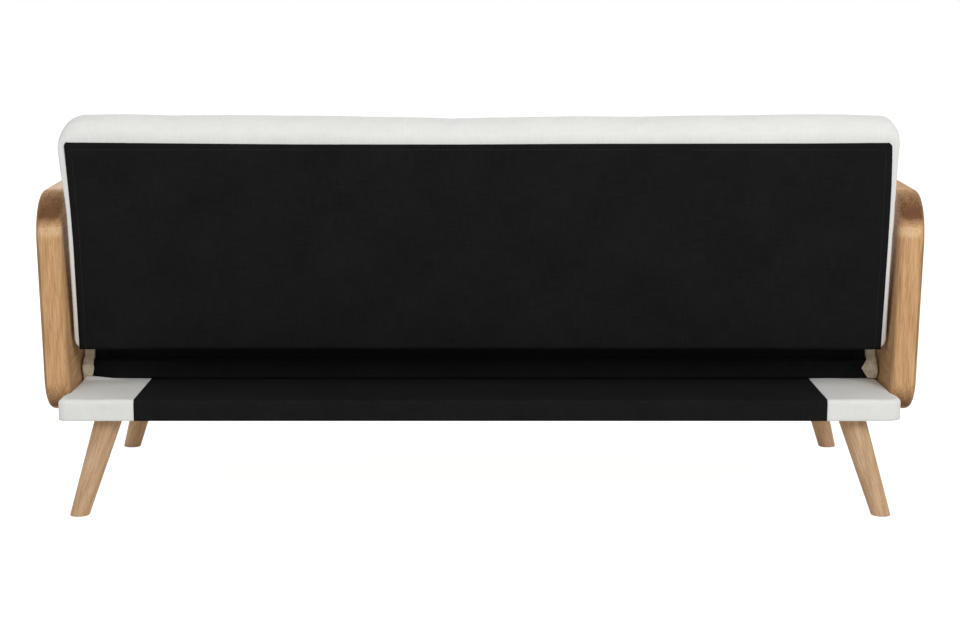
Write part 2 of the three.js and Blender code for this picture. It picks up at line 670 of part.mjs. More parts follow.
// Back pieces, in the frame of the back: its front at Y 0 and its lower end at Z 0
const pivot = new THREE.Group();
pivot.position.set(0, pivotY, pivotZ);
pivot.rotation.x = -backLean;
const back = new THREE.Group();
back.position.set(0, -pivotDepth, -pivotAboveEnd);
pivot.add(back);
sofa.add(pivot);
{
  const timberRear = backThickness - backClothThickness - gap;
  const timberFront = timberRear - backTimber;
  const panelRear = timberFront - gap;
  const hollowFront = panelRear - backPanelThickness - gap;
  const timberLow = backHemWall + gap;
  const timberHigh = backClothLength;
  const thick = [timberFront, timberRear];
  const stile = block([stileInnerX, backClothHalfWidth - gap], thick, [timberLow, timberHigh]);
  placePair('back_stile', stile, frameTimber, back);
  const railHalf = stileInnerX - gap;
  const lowRailTop = timberLow + backLowRailHeight;
  const topRailBottom = timberHigh - backTimber;
  place('back_low_rail', block([-railHalf, railHalf], thick, [timberLow, lowRailTop]), frameTimber, back);
  place('back_top_rail', block([-railHalf, railHalf], thick, [topRailBottom, timberHigh]), frameTimber, back);
  const halfMiddle = centreRailWidth / 2;
  const middleRun = [lowRailTop + gap, topRailBottom - gap];
  place('back_centre_stile', block([-halfMiddle, halfMiddle], thick, middleRun), frameTimber, back);
  const panelHalf = slotX[0] - gap;
  const panelThick = [panelRear - backPanelThickness, panelRear];
  place('back_panel', block([-panelHalf, panelHalf], panelThick, [timberLow, timberHigh]), plywood, back);
  const clothHalf = backClothHalfWidth;
  const clothThick = [backThickness - backClothThickness, backThickness];
  const cloth = block([-clothHalf, clothHalf], clothThick, [0, backClothLength]);
  place('back_rear_cloth', cloth, blackCloth, back);

  const rings = cushionRings({
    low: new THREE.Vector2(-backHalfWidth, 0),
    high: new THREE.Vector2(backHalfWidth, backLength),
    lowRadius: backLowCornerRadius,
    highRadius: backTopCornerRadius,
    foot: -backThickness,
    footRound: backRearRadius,
    levels: [],
    top: 0,
    topRadius: backFrontRadius,
  });
  const halfLength = backLength / 2;
  for (const point of rings.flat()) {
    const across = point.x / backHalfWidth;
    const along = (point.y - halfLength) / halfLength;
    const rise = (point.z + backThickness) / backThickness;
    point.x -= backSideDraw * across ** 7 * (1 - along ** 2);
    if (along > 0) point.y -= backTopSag * along ** 8 * (1 - across ** 4);
    point.z += backCrown * rise ** 6 * (1 - across ** 6) * (1 - along ** 4);
  }
  // The rings were drawn lying on their back, and are stood up to face the front
  const padding = skinned(rings).rotateX(quarterTurn);
  const hollowHalf = backClothHalfWidth + gap;
  const hollow = block([-hollowHalf, hollowHalf], [hollowFront, far], [backHemWall, backClothLength + gap]);
  const hem = block([-hollowHalf, hollowHalf], [timberRear, far], [-overrun, backClothLength + gap]);
  const slotTop = pivotAboveEnd + ratchetRadius + slotEndMargin;
  const slot = block(slotX, [-overrun - backCrown, hollowFront + overrun], [-overrun, slotTop]);
  place('back_cushion', cut(padding, hollow, hem, slot, mirrored(slot)), creamCloth, back);

  // Ratchet plate: a toothed wheel round the pivot, and a strap up the inside of the stile
  const wheelMiddle = new THREE.Vector2(pivotDepth, pivotAboveEnd);
  const teeth = [...Array(ratchetTeeth).keys()].flatMap((tooth) => {
    const angle = (4 * quarterTurn * tooth) / ratchetTeeth;
    const ray = new THREE.Vector2(Math.cos(angle), Math.sin(angle));
    return [ratchetRadius, ratchetRadius - ratchetToothDepth].map((radius) => {
      return ray.clone().multiplyScalar(radius).add(wheelMiddle);
    });
  });
  const wheel = new THREE.Shape(teeth);
  const strapRear = timberRear - gap;
  const strapFront = strapRear - strapWidth;
  const strap = filleted([
    [pivotDepth, pivotAboveEnd - ratchetRadius + ratchetToothDepth, 0],
    [strapFront, lowRailTop + plateCorner, plateCorner],
    [strapRear, lowRailTop + plateCorner, plateCorner],
    [strapRear, strapTop, plateCorner],
    [strapFront, strapTop, plateCorner],
    [strapFront, pivotAboveEnd + ratchetRadius - ratchetToothDepth, plateCorner],
    [pivotDepth, pivotAboveEnd + ratchetRadius - ratchetToothDepth, 0],
  ]);
  const pinBore = crossRod(
    pinRadius + boreClearance,
    ratchetX[0] - overrun,
    ratchetX[1] + overrun,
    pivotDepth,
    pivotAboveEnd,
  );
  const plate = join(sidePiece(wheel, ...ratchetX), sidePiece(strap, ...ratchetX));
  placePair('ratchet_plate', cut(plate, pinBore), steel, back);
}

// Hinge pieces that stay with the seat
{
  const footBottom = seatBottom + seatPlateFootInset;
  const footTop = seatFrameTop - seatPlateFootInset;
  const footFront = seatPlateRear - seatPlateFoot;
  const outline = filleted([
    [footFront, footBottom, plateCorner],
    [seatPlateRear, footBottom, plateCorner],
    [seatPlateRear, pivotZ - plateEyeRadius, plateCorner],
    [pivotY + plateEyeRadius, pivotZ - plateEyeRadius, plateEyeRadius - gap],
    [pivotY + plateEyeRadius, pivotZ + plateEyeRadius, plateEyeRadius - gap],
    [seatPlateArmFront, pivotZ + plateEyeRadius, plateEyeRadius],
    [seatPlateArmFront, footTop, plateCorner],
    [footFront, footTop, plateCorner],
  ]);
  const pinBore = crossRod(
    pinRadius + boreClearance,
    seatPlateX[0] - overrun,
    seatPlateX[1] + overrun,
    pivotY,
    pivotZ,
  );
  const stud = crossRod(pawlStudRadius, (seatPlateX[0] + seatPlateX[1]) / 2, outerHeadX[0], pawlY, pawlZ);
  placePair('hinge_seat_plate', join(cut(sidePiece(outline, ...seatPlateX), pinBore), stud), steel);

  const pin = join(
    crossRod(pinRadius, innerHeadX[0], outerHeadX[1], pivotY, pivotZ),
    crossRod(pinHeadRadius, ...innerHeadX, pivotY, pivotZ),
    crossRod(pinHeadRadius, ...outerHeadX, pivotY, pivotZ),
  );
  placePair('hinge_pin', pin, steel);

  // The pawl points at the middle of the ratchet wheel, and stops just clear of its teeth
  const towardsPivot = new THREE.Vector2(pivotY - pawlY, pivotZ - pawlZ);
  const reach = towardsPivot.length() - ratchetRadius - gap;
  const finger = sidePiece(
    filleted([
      [-pawlEyeRadius, -pawlEyeRadius, pawlEyeRadius - gap],
      [0, -pawlEyeRadius, 0],
      [reach, -pawlTipHalfWidth, 0],
      [reach, pawlTipHalfWidth, 0],
      [0, pawlEyeRadius, 0],
      [-pawlEyeRadius, pawlEyeRadius, pawlEyeRadius - gap],
    ]),
    ...ratchetX,
  );
  finger.rotateX(towardsPivot.angle());
  finger.translate(0, pawlY, pawlZ);
  const studBore = crossRod(
    pawlStudRadius + boreClearance,
    ratchetX[0] - overrun,
    ratchetX[1] + overrun,
    pawlY,
    pawlZ,
  );
  placePair('hinge_pawl', cut(finger, studBore), steel);
}

export default sofa;
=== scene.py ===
import math

import bmesh
import bpy
import numpy as np
from mathutils import Matrix, Vector, noise


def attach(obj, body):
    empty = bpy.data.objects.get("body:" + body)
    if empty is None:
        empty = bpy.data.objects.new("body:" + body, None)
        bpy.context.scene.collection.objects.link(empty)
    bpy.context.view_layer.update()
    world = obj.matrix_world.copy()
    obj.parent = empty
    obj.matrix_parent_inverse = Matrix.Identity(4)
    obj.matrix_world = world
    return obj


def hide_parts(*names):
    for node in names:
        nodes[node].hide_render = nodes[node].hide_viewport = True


# A click clack sofa bed, put together from its floor upwards: frames, base covers, legs, arms, seat, back,
# thread, staples and hinges. Sizes are in millimetres and become metres where a mesh is made.
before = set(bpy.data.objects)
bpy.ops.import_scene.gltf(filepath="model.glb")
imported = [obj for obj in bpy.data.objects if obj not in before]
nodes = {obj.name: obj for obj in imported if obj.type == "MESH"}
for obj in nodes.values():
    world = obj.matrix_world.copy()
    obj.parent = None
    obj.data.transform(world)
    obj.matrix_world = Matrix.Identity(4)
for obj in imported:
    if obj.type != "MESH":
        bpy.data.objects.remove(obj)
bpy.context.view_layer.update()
scene = bpy.context.scene
scene.view_settings.view_transform = "Standard"
MM = 0.001

# Camera: it stands behind the sofa bed a little above the back, on a long lens, and looks slightly down.
# Its turns in radians and its place in metres are fitted to the photo's edges
camera_pitch, camera_yaw, camera_roll = 0.1524, -0.0023, 0.0005
lens_data = bpy.data.cameras.new("camera")
lens_data.sensor_width = 36
lens_data.lens = 77.92
camera = bpy.data.objects.new("camera", lens_data)
scene.collection.objects.link(camera)
looking = Vector((
    math.sin(camera_yaw) * math.cos(camera_pitch),
    -math.cos(camera_yaw) * math.cos(camera_pitch),
    -math.sin(camera_pitch),
))
upright = looking.to_track_quat("-Z", "Y").to_matrix()
camera.rotation_euler = (upright @ Matrix.Rotation(camera_roll, 3, "Z")).to_euler()
camera.location = (0.0113, 4.7836, 1.1143)
scene.camera = camera


# Floor and studio: a white paper sweep on a level floor, lit by broad soft boxes, two behind the sofa bed,
# one above and one in front. The sweep looks white itself, keeps a faint shadow, and adds no more light to the
# object than pale paper does.
def linear(text):
    """An sRGB hex colour as linear red, green, blue and alpha."""
    parts = [int(text[i : i + 2], 16) / 255 for i in (1, 3, 5)]
    return [p / 12.92 if p <= 0.04045 else ((p + 0.055) / 1.055) ** 2.4 for p in parts] + [1.0]


def add(tree, kind, inputs=None, **settings):
    """A node of one kind with its settings; each input is given a value, or the socket that feeds it."""
    node = tree.nodes.new(kind)
    for name, value in settings.items():
        setattr(node, name, value)
    for name, value in (inputs or {}).items():
        if isinstance(value, bpy.types.NodeSocket):
            tree.links.new(value, node.inputs[name])
        else:
            node.inputs[name].default_value = value
    return node


def seen_white(tree):
    """One where a ray comes from the camera, a mirror-like gloss or clear glass, and nought elsewhere."""
    path = add(tree, "ShaderNodeLightPath").outputs
    inputs = {0: path["Is Glossy Ray"], 1: path["Is Transmission Ray"]}
    gloss = add(tree, "ShaderNodeMath", inputs, operation="MAXIMUM")
    inputs = {0: path["Is Camera Ray"], 1: gloss.outputs[0]}
    return add(tree, "ShaderNodeMath", inputs, operation="MAXIMUM").outputs[0]


world = bpy.data.worlds.new("studio")
scene.world = world
world.use_nodes = True
air = world.node_tree
air.nodes.clear()
ambient = add(air, "ShaderNodeBackground", {"Color": linear("#ffffff"), "Strength": 0.6})
paper_white = add(air, "ShaderNodeBackground", {"Color": linear("#ffffff"), "Strength": 1.0})
inputs = {0: seen_white(air), 1: ambient.outputs[0], 2: paper_white.outputs[0]}
around = add(air, "ShaderNodeMixShader", inputs)
add(air, "ShaderNodeOutputWorld", {"Surface": around.outputs[0]})

paper = bpy.data.materials.new("matt_paper_sweep")
paper.use_nodes = True
sweep = paper.node_tree
sweep.nodes.clear()
pale = add(sweep, "ShaderNodeBsdfDiffuse", {"Color": linear("#e6e6e4")})
glow = add(sweep, "ShaderNodeEmission", {"Color": linear("#ffffff"), "Strength": 0.9})
shade = add(sweep, "ShaderNodeBsdfDiffuse", {"Color": linear("#a0a0a0")})
lit = add(sweep, "ShaderNodeAddShader", {0: glow.outputs[0], 1: shade.outputs[0]})
inputs = {0: seen_white(sweep), 1: pale.outputs[0], 2: lit.outputs[0]}
floor_look = add(sweep, "ShaderNodeMixShader", inputs)
add(sweep, "ShaderNodeOutputMaterial", {"Surface": floor_look.outputs[0]})
floor_mesh = bpy.data.meshes.new("floor")
reach = 60  # metres to each side, so that the sweep runs past the picture
floor_corners = [(-reach, -reach, 0), (reach, -reach, 0), (reach, reach, 0), (-reach, reach, 0)]
floor_mesh.from_pydata(floor_corners, [], [(0, 1, 2, 3)])
floor_mesh.materials.append(paper)
floor = bpy.data.objects.new("floor", floor_mesh)
scene.collection.objects.link(floor)

# Each soft box: where it hangs, its watts, and its width in metres
aim = Vector((0, 0, 0.45))
soft_boxes = {
    "key_soft_box": ((-3.2, 5.8, 4.1), 178, 2.4),
    "fill_soft_box": ((3.3, 5.9, 3.6), 54, 2.6),
    "top_soft_box": ((0.0, 1.5, 4.4), 15, 2.8),
    "front_soft_box": ((1.2, -6.6, 2.6), 110, 2.8),
}
for name, (place, watts, size) in soft_boxes.items():
    lamp = bpy.data.lights.new(name, "AREA")
    lamp.energy = watts
    lamp.size = size
    holder = bpy.data.objects.new(name, lamp)
    holder.location = place
    holder.rotation_euler = (aim - Vector(place)).to_track_quat("-Z", "Y").to_euler()
    scene.collection.objects.link(holder)


# Frame timber of base, seat and back: sawn and planed pine, glued and screwed. It stays as the CAD made it.
# Planing leaves fine pale and dark streaks along each length, with a dull surface.
def new_material(name, roughness, metallic=0.0, **more):
    """A material with one shader, whose other inputs are named with _ for each blank."""
    made = bpy.data.materials.new(name)
    made.use_nodes = True
    tree = made.node_tree
    tree.nodes.clear()
    inputs = {"Roughness": roughness, "Metallic": metallic}
    inputs.update({key.replace("_", " "): value for key, value in more.items()})
    shader = add(tree, "ShaderNodeBsdfPrincipled", inputs)
    add(tree, "ShaderNodeOutputMaterial", {"Surface": shader.outputs[0]})
    return made, tree, shader


def planed_pine(name, along):
    """Pine with its fibres along one axis: streaks about 4 mm wide and 160 mm long."""
    made, tree, shader = new_material(name, 0.62)
    place = add(tree, "ShaderNodeTexCoord").outputs["Object"]
    scale = [6.0 if axis == along else 240.0 for axis in range(3)]
    fibres = add(tree, "ShaderNodeMapping", {"Vector": place, "Scale": scale}).outputs[0]
    inputs = {"Vector": fibres, "Scale": 1.0, "Detail": 4.0, "Roughness": 0.6}
    streaks = add(tree, "ShaderNodeTexNoise", inputs).outputs[0]
    tones = add(tree, "ShaderNodeValToRGB", {0: streaks})
    for stop, at, tone in zip(tones.color_ramp.elements, (0.3, 0.7), ("#b8935f", "#dfc595")):
        stop.position, stop.color = at, linear(tone)
    tree.links.new(tones.outputs[0], shader.inputs["Base Color"])
    bump = add(tree, "ShaderNodeBump", {"Height": streaks, "Strength": 0.4, "Distance": 0.0004})
    tree.links.new(bump.outputs[0], shader.inputs["Normal"])
    return made


def finish_nodes(names, made):
    """Gives CAD nodes that are kept their material."""
    for name in names:
        node = nodes[name]
        node.data.materials.clear()
        node.data.materials.append(made)


pine_across = planed_pine("planed_pine_across", 0)
pine_deep = planed_pine("planed_pine_deep", 1)
pine_upright = planed_pine("planed_pine_upright", 2)
rail_places = ("base_rear", "base_front", "seat_rear", "seat_front", "back_low", "back_top")
finish_nodes([f"{name}_rail" for name in rail_places], pine_across)
sides = ("left", "right")
deep_names = [f"{name}_{side}" for name in ("base_end_board", "seat_side_rail") for side in sides]
finish_nodes(["base_centre_rail", *deep_names], pine_deep)
finish_nodes(["back_centre_stile", *(f"back_stile_{side}" for side in sides)], pine_upright)

# Deck and panels: birch plywood, pressed from veneers. The face is pale with long faint figure, and the cut
# edges show the veneers as stripes 1.5 mm apart.
ply, tree, shader = new_material("sanded_birch_plywood", 0.58)
place = add(tree, "ShaderNodeTexCoord").outputs["Object"]
figure_vector = add(tree, "ShaderNodeMapping", {"Vector": place, "Scale": (4.0, 60.0, 60.0)}).outputs[0]
figure = add(tree, "ShaderNodeTexNoise", {"Vector": figure_vector, "Scale": 1.0, "Detail": 3.0}).outputs[0]
heights = add(tree, "ShaderNodeSeparateXYZ", {0: place}).outputs["Z"]
veneer_turn = add(tree, "ShaderNodeMath", {0: heights, 1: 2 * math.pi / 0.003}, operation="MULTIPLY")
veneer = add(tree, "ShaderNodeMath", {0: veneer_turn.outputs[0]}, operation="SINE")
mixed = add(tree, "ShaderNodeMath", {0: veneer.outputs[0], 1: 0.12, 2: figure}, operation="MULTIPLY_ADD")
tones = add(tree, "ShaderNodeValToRGB", {0: mixed.outputs[0]})
for stop, at, tone in zip(tones.color_ramp.elements, (0.32, 0.68), ("#b89a6c", "#dcc299")):
    stop.position, stop.color = at, linear(tone)
tree.links.new(tones.outputs[0], shader.inputs["Base Color"])
finish_nodes(["base_deck", "seat_panel", "back_panel"], ply)


# Base covers: cream polyester weave round both ends and the front of the base, black lining cloth over the
# middle of the platform. Each is pulled tight over the deck's rounded edge, turned under and stapled.
def woven(name, light, dark, thread, gloss, blotches=7.0):
    """Plain weave on the cloth's own coordinates, coarser than real thread of 0.5 mm, which wouldn't show."""
    made, tree, shader = new_material(name, 0.86, Specular_IOR_Level=gloss)
    cloth = add(tree, "ShaderNodeUVMap", uv_map="weave").outputs[0]
    split = add(tree, "ShaderNodeSeparateXYZ", {0: cloth})
    waves = []
    for axis in ("X", "Y"):
        inputs = {0: split.outputs[axis], 1: math.pi / thread}
        turn = add(tree, "ShaderNodeMath", inputs, operation="MULTIPLY")
        waves.append(add(tree, "ShaderNodeMath", {0: turn.outputs[0]}, operation="SINE").outputs[0])
    crossing = add(tree, "ShaderNodeMath", {0: waves[0], 1: waves[1]}, operation="MULTIPLY").outputs[0]
    # Slubs: threads that are thicker for a while, in both directions
    slubs = []
    for scale in ((22.0, 330.0, 1.0), (330.0, 22.0, 1.0)):
        run = add(tree, "ShaderNodeMapping", {"Vector": cloth, "Scale": scale}).outputs[0]
        slubs.append(add(tree, "ShaderNodeTexNoise", {"Vector": run, "Scale": 1.0, "Detail": 2.0}).outputs[0])
    slub = add(tree, "ShaderNodeMath", {0: slubs[0], 1: slubs[1]}, operation="ADD").outputs[0]
    broad = add(tree, "ShaderNodeTexNoise", {"Vector": cloth, "Scale": blotches, "Detail": 3.0}).outputs[0]
    # Less the mean of each noise, so that the tones lie about the middle
    total = 0.5 - 0.55 - 0.25
    for socket, share in ((crossing, 0.1), (slub, 0.55), (broad, 0.5)):
        inputs = {0: socket, 1: share, 2: total}
        total = add(tree, "ShaderNodeMath", inputs, operation="MULTIPLY_ADD").outputs[0]
    inputs = {"Factor": total, 6: linear(dark), 7: linear(light)}
    tone = add(tree, "ShaderNodeMix", inputs, data_type="RGBA").outputs[2]
    tree.links.new(tone, shader.inputs["Base Color"])
    height = add(tree, "ShaderNodeMath", {0: crossing, 1: 0.35, 2: slub}, operation="MULTIPLY_ADD").outputs[0]
    bump = add(tree, "ShaderNodeBump", {"Height": height, "Strength": 0.5, "Distance": 0.0005})
    tree.links.new(bump.outputs[0], shader.inputs["Normal"])
    return made


def object_from(name, points, faces, made):
    """A mesh object of points in millimetres, linked to the scene."""
    mesh = bpy.data.meshes.new(name)
    mesh.from_pydata([tuple(p) for p in np.asarray(points, float) * MM], [], [tuple(f) for f in faces])
    mesh.materials.append(made)
    mesh.shade_smooth()
    obj = bpy.data.objects.new(name, mesh)
    scene.collection.objects.link(obj)
    return obj


def baked(obj):
    """What the modifiers make becomes the mesh itself."""
    graph = bpy.context.evaluated_depsgraph_get()
    seen = obj.evaluated_get(graph)
    mesh = bpy.data.meshes.new_from_object(seen, preserve_all_data_layers=True, depsgraph=graph)
    obj.modifiers.clear()
    old = obj.data
    obj.data = mesh
    bpy.data.meshes.remove(old)
    return obj


def read_out(items, field, kind=float):
    """One field of all the points, corners or faces of a mesh: a row of three for a place or a direction."""
    wide = 3 if field in ("co", "normal", "vector") else 1
    values = np.empty(len(items) * wide, kind)
    items.foreach_get(field, values)
    return values.reshape(-1, 3) if wide == 3 else values


def fillet(corners, counts, turn_steps, closed):
    """Points and outer normals along a path through corners (across, up, radius), outer side on the right."""
    ends, points, normals = [], [], []
    total = len(corners)
    for i, (a, b, radius) in enumerate(corners):
        corner = np.array([a, b], float)
        if not radius:
            ends.append((corner, corner, None))
            continue
        before = np.array(corners[i - 1][:2]) - corner
        after = np.array(corners[(i + 1) % total][:2]) - corner
        before /= np.linalg.norm(before)
        after /= np.linalg.norm(after)
        half = math.acos(float(before @ after)) / 2
        middle = before + after
        centre = corner + middle / np.linalg.norm(middle) * radius / math.sin(half)
        start, stop = corner + before * radius / math.tan(half), corner + after * radius / math.tan(half)
        first = math.atan2(*(start - centre)[::-1])
        sweep_angle = math.atan2(*(stop - centre)[::-1]) - first
        sweep_angle = (sweep_angle + math.pi) % (2 * math.pi) - math.pi
        ends.append((start, stop, (centre, radius, first, sweep_angle)))
    for i in range(total):
        start, stop, arc = ends[i]
        if arc is None:
            following = ends[(i + 1) % total][0] if closed or i + 1 < total else None
            run = following - stop if following is not None else start - ends[i - 1][1]
            points.append(start)
            normals.append(np.array([run[1], -run[0]]) / np.linalg.norm(run))
        else:
            centre, radius, first, sweep_angle = arc
            for k in range(turn_steps + 1):
                angle = first + sweep_angle * k / turn_steps
                ray = np.array([math.cos(angle), math.sin(angle)])
                points.append(centre + ray * radius)
                normals.append(ray * math.copysign(1, sweep_angle))
        if closed or i + 1 < total:
            run = ends[(i + 1) % total][0] - stop
            facing = np.array([run[1], -run[0]]) / np.linalg.norm(run)
            for k in range(1, counts[i]):
                points.append(stop + run * k / counts[i])
                normals.append(facing)
    return np.array(points), np.array(normals)


def lengths_along(points):
    """How far along a line each of its points lies."""
    steps = np.linalg.norm(np.diff(points, axis=0), axis=1)
    return np.concatenate([[0], np.cumsum(steps)])


def whole_length(points):
    """The length of a line through points."""
    return float(lengths_along(np.array(points))[-1])


def grid_faces(ids):
    """The four-cornered faces between the point numbers of a grid."""
    return np.stack([ids[:-1, :-1], ids[1:, :-1], ids[1:, 1:], ids[:-1, 1:]], -1).reshape(-1, 4)


def cloth_sheet(name, grids, made, thickness, outward):
    """A sheet from grids of (place, cloth coordinate); touching grids are sewn, and it thickens inwards."""
    points, cloth, faces = [], [], []
    for places, weave in grids:
        rows, columns = places.shape[:2]
        base = len(points)
        points += list(places.reshape(-1, 3))
        cloth += list(weave.reshape(-1, 2))
        quads = grid_faces(base + np.arange(rows * columns).reshape(rows, columns))
        p = [points[i] for i in quads[len(quads) // 2]]
        facing = np.cross(p[2] - p[0], p[3] - p[1]) @ outward(np.mean(p, axis=0))
        faces += [tuple(q if facing > 0 else q[::-1]) for q in quads]
    obj = object_from(name, points, faces, made)
    mesh = obj.data
    layer = mesh.uv_layers.new(name="weave")
    corners = read_out(mesh.loops, "vertex_index", int)
    layer.data.foreach_set("uv", (np.array(cloth)[corners] * MM).ravel())
    sewn = bmesh.new()
    sewn.from_mesh(mesh)
    bmesh.ops.remove_doubles(sewn, verts=sewn.verts, dist=0.05 * MM)
    sewn.to_mesh(mesh)
    sewn.free()
    wall = obj.modifiers.new("thickness", "SOLIDIFY")
    wall.thickness = thickness * MM
    wall.offset = -1
    return baked(obj)


def ripple(x, y, z, size, seed=0.0):
    """Smooth noise from -1 to 1 at a place in millimetres."""
    return noise.noise(Vector((x / size + seed, y / size - seed, z / size + 0.5 * seed)))


def clamped(value):
    """The value, kept between nought and one."""
    return min(1.0, max(0.0, value))


def fitted(piece, body, node):
    """The piece moves with a body and stands for a CAD node, which is hidden."""
    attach(piece, body)
    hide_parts(node)


cream_cloth = woven("cream_polyester_weave", "#eaeae8", "#d5d5d1", 0.0028, 0.2)
black_cloth = woven("black_lining_cloth", "#222223", "#0b0b0c", 0.003, 0.04)

base_half, base_rear, base_front = 898.2, 410.0, -370.0
base_top, base_under = 258.0, 213.0
plan_corner, edge_round = 28.0, 8.0
seat_rear, seat_gap = 151.0, 0.3
seam_x, seam_gap = 744.05, 0.15
sheet_thickness = 1.0
# Down the side and under: how far each row lies in from the outline, and its height
edge_turns = [math.radians(a) for a in (90, 67.5, 45, 22.5, 0)]
edge_rows = [(edge_round * (1 - math.cos(a)), base_top - edge_round * (1 - math.sin(a))) for a in edge_turns]
side_rows = [(0, z) for z in (243.5, 237, 230.5, 224, 218)]
hem_rows = [(0, base_under), (0.8, base_under - 0.9), *((inset, base_under - 1.1) for inset in (8, 14, 20))]
rows_down = edge_rows + side_rows + hem_rows


def skirt(path, facing, rows):
    """A grid that hangs from a plan path, with its cloth coordinates."""
    inset = np.array([r[0] for r in rows])
    height = np.array([r[1] for r in rows])
    plan = path[:, None, :] - facing[:, None, :] * inset[None, :, None]
    places = np.dstack([plan, np.broadcast_to(height, plan.shape[:2])])
    along = lengths_along(path)
    down = lengths_along(np.array(rows))
    weave = np.dstack(np.meshgrid(along, down, indexing="ij"))
    return places, weave


# The front and the ends under the seat
front_path, front_facing = fillet(
    [(-base_half, seat_rear, 0), (-base_half, base_front, plan_corner),
     (base_half, base_front, plan_corner), (base_half, seat_rear, 0)],
    [40, 130, 40],
    6,
    False,
)
under_seat = 255.6  # the seat cushion rests on the base above this height
low_rows = [row for row in rows_down if row[1] < under_seat]
places, weave = skirt(front_path, front_facing, low_rows)
for i, j in np.ndindex(places.shape[:2]):
    x, y, z = places[i, j]
    if y < base_front + 5 and z > base_under:
        places[i, j, 1] -= 0.7 * (1 + ripple(x, 0, z * 3, 130, 3.1))
base_front_cover = cloth_sheet(
    "base_front_cover", [(places, weave)], cream_cloth, sheet_thickness, lambda p: p * (1, 1, 0)
)
fitted(base_front_cover, "base", "base_cover_front")

# The black middle of the platform
middle_xs = np.linspace(-seam_x + seam_gap, seam_x - seam_gap, 150)
middle_path = np.stack([middle_xs, np.full(150, base_rear)], 1)
middle_facing = np.tile([0.0, 1.0], (150, 1))
top_rows = [(inset, base_top) for inset in np.linspace(base_rear - seat_rear - seat_gap, 16, 22)]
places, weave = skirt(middle_path, middle_facing, top_rows + rows_down)
for i, j in np.ndindex(places.shape[:2]):
    x, y, z = places[i, j]
    over = max(0.0, 1 - abs(y - 395) / 60) if z > 255 else 0.0
    places[i, j, 2] += 0.5 * over * (0.4 + ripple(x, y, 0, 160, 1.7))
    if y > 400 and z > base_under:
        places[i, j, 1] += 0.7 * (ripple(x, 0, z * 2, 110, 5.2) + 0.5) * clamped((z - base_under) / 8)
    elif z > 255:
        places[i, j, 2] += 0.45 * ripple(x, 3 * y, 0, 210, 8.3)
platform_black = cloth_sheet(
    "platform_black_cloth", [(places, weave)], black_cloth, sheet_thickness, lambda p: np.array([0, 1.0, 1.0])
)
fitted(platform_black, "base", "platform_cover_black")


def patch(bottom, right, top, left, u=None, v=None):
    """A grid of points inside four edges that share their corners (a Coons patch), in steps of u and v."""
    u = lengths_along(bottom) / whole_length(bottom) if u is None else u
    v = lengths_along(left) / whole_length(left) if v is None else v
    U, V = u[:, None, None], v[None, :, None]
    flat = (1 - V) * bottom[:, None] + V * top[:, None] + (1 - U) * left[None] + U * right[None]
    corners = (1 - U) * (1 - V) * bottom[0] + U * (1 - V) * bottom[-1]
    return flat - corners - (1 - U) * V * top[0] - U * V * top[-1]


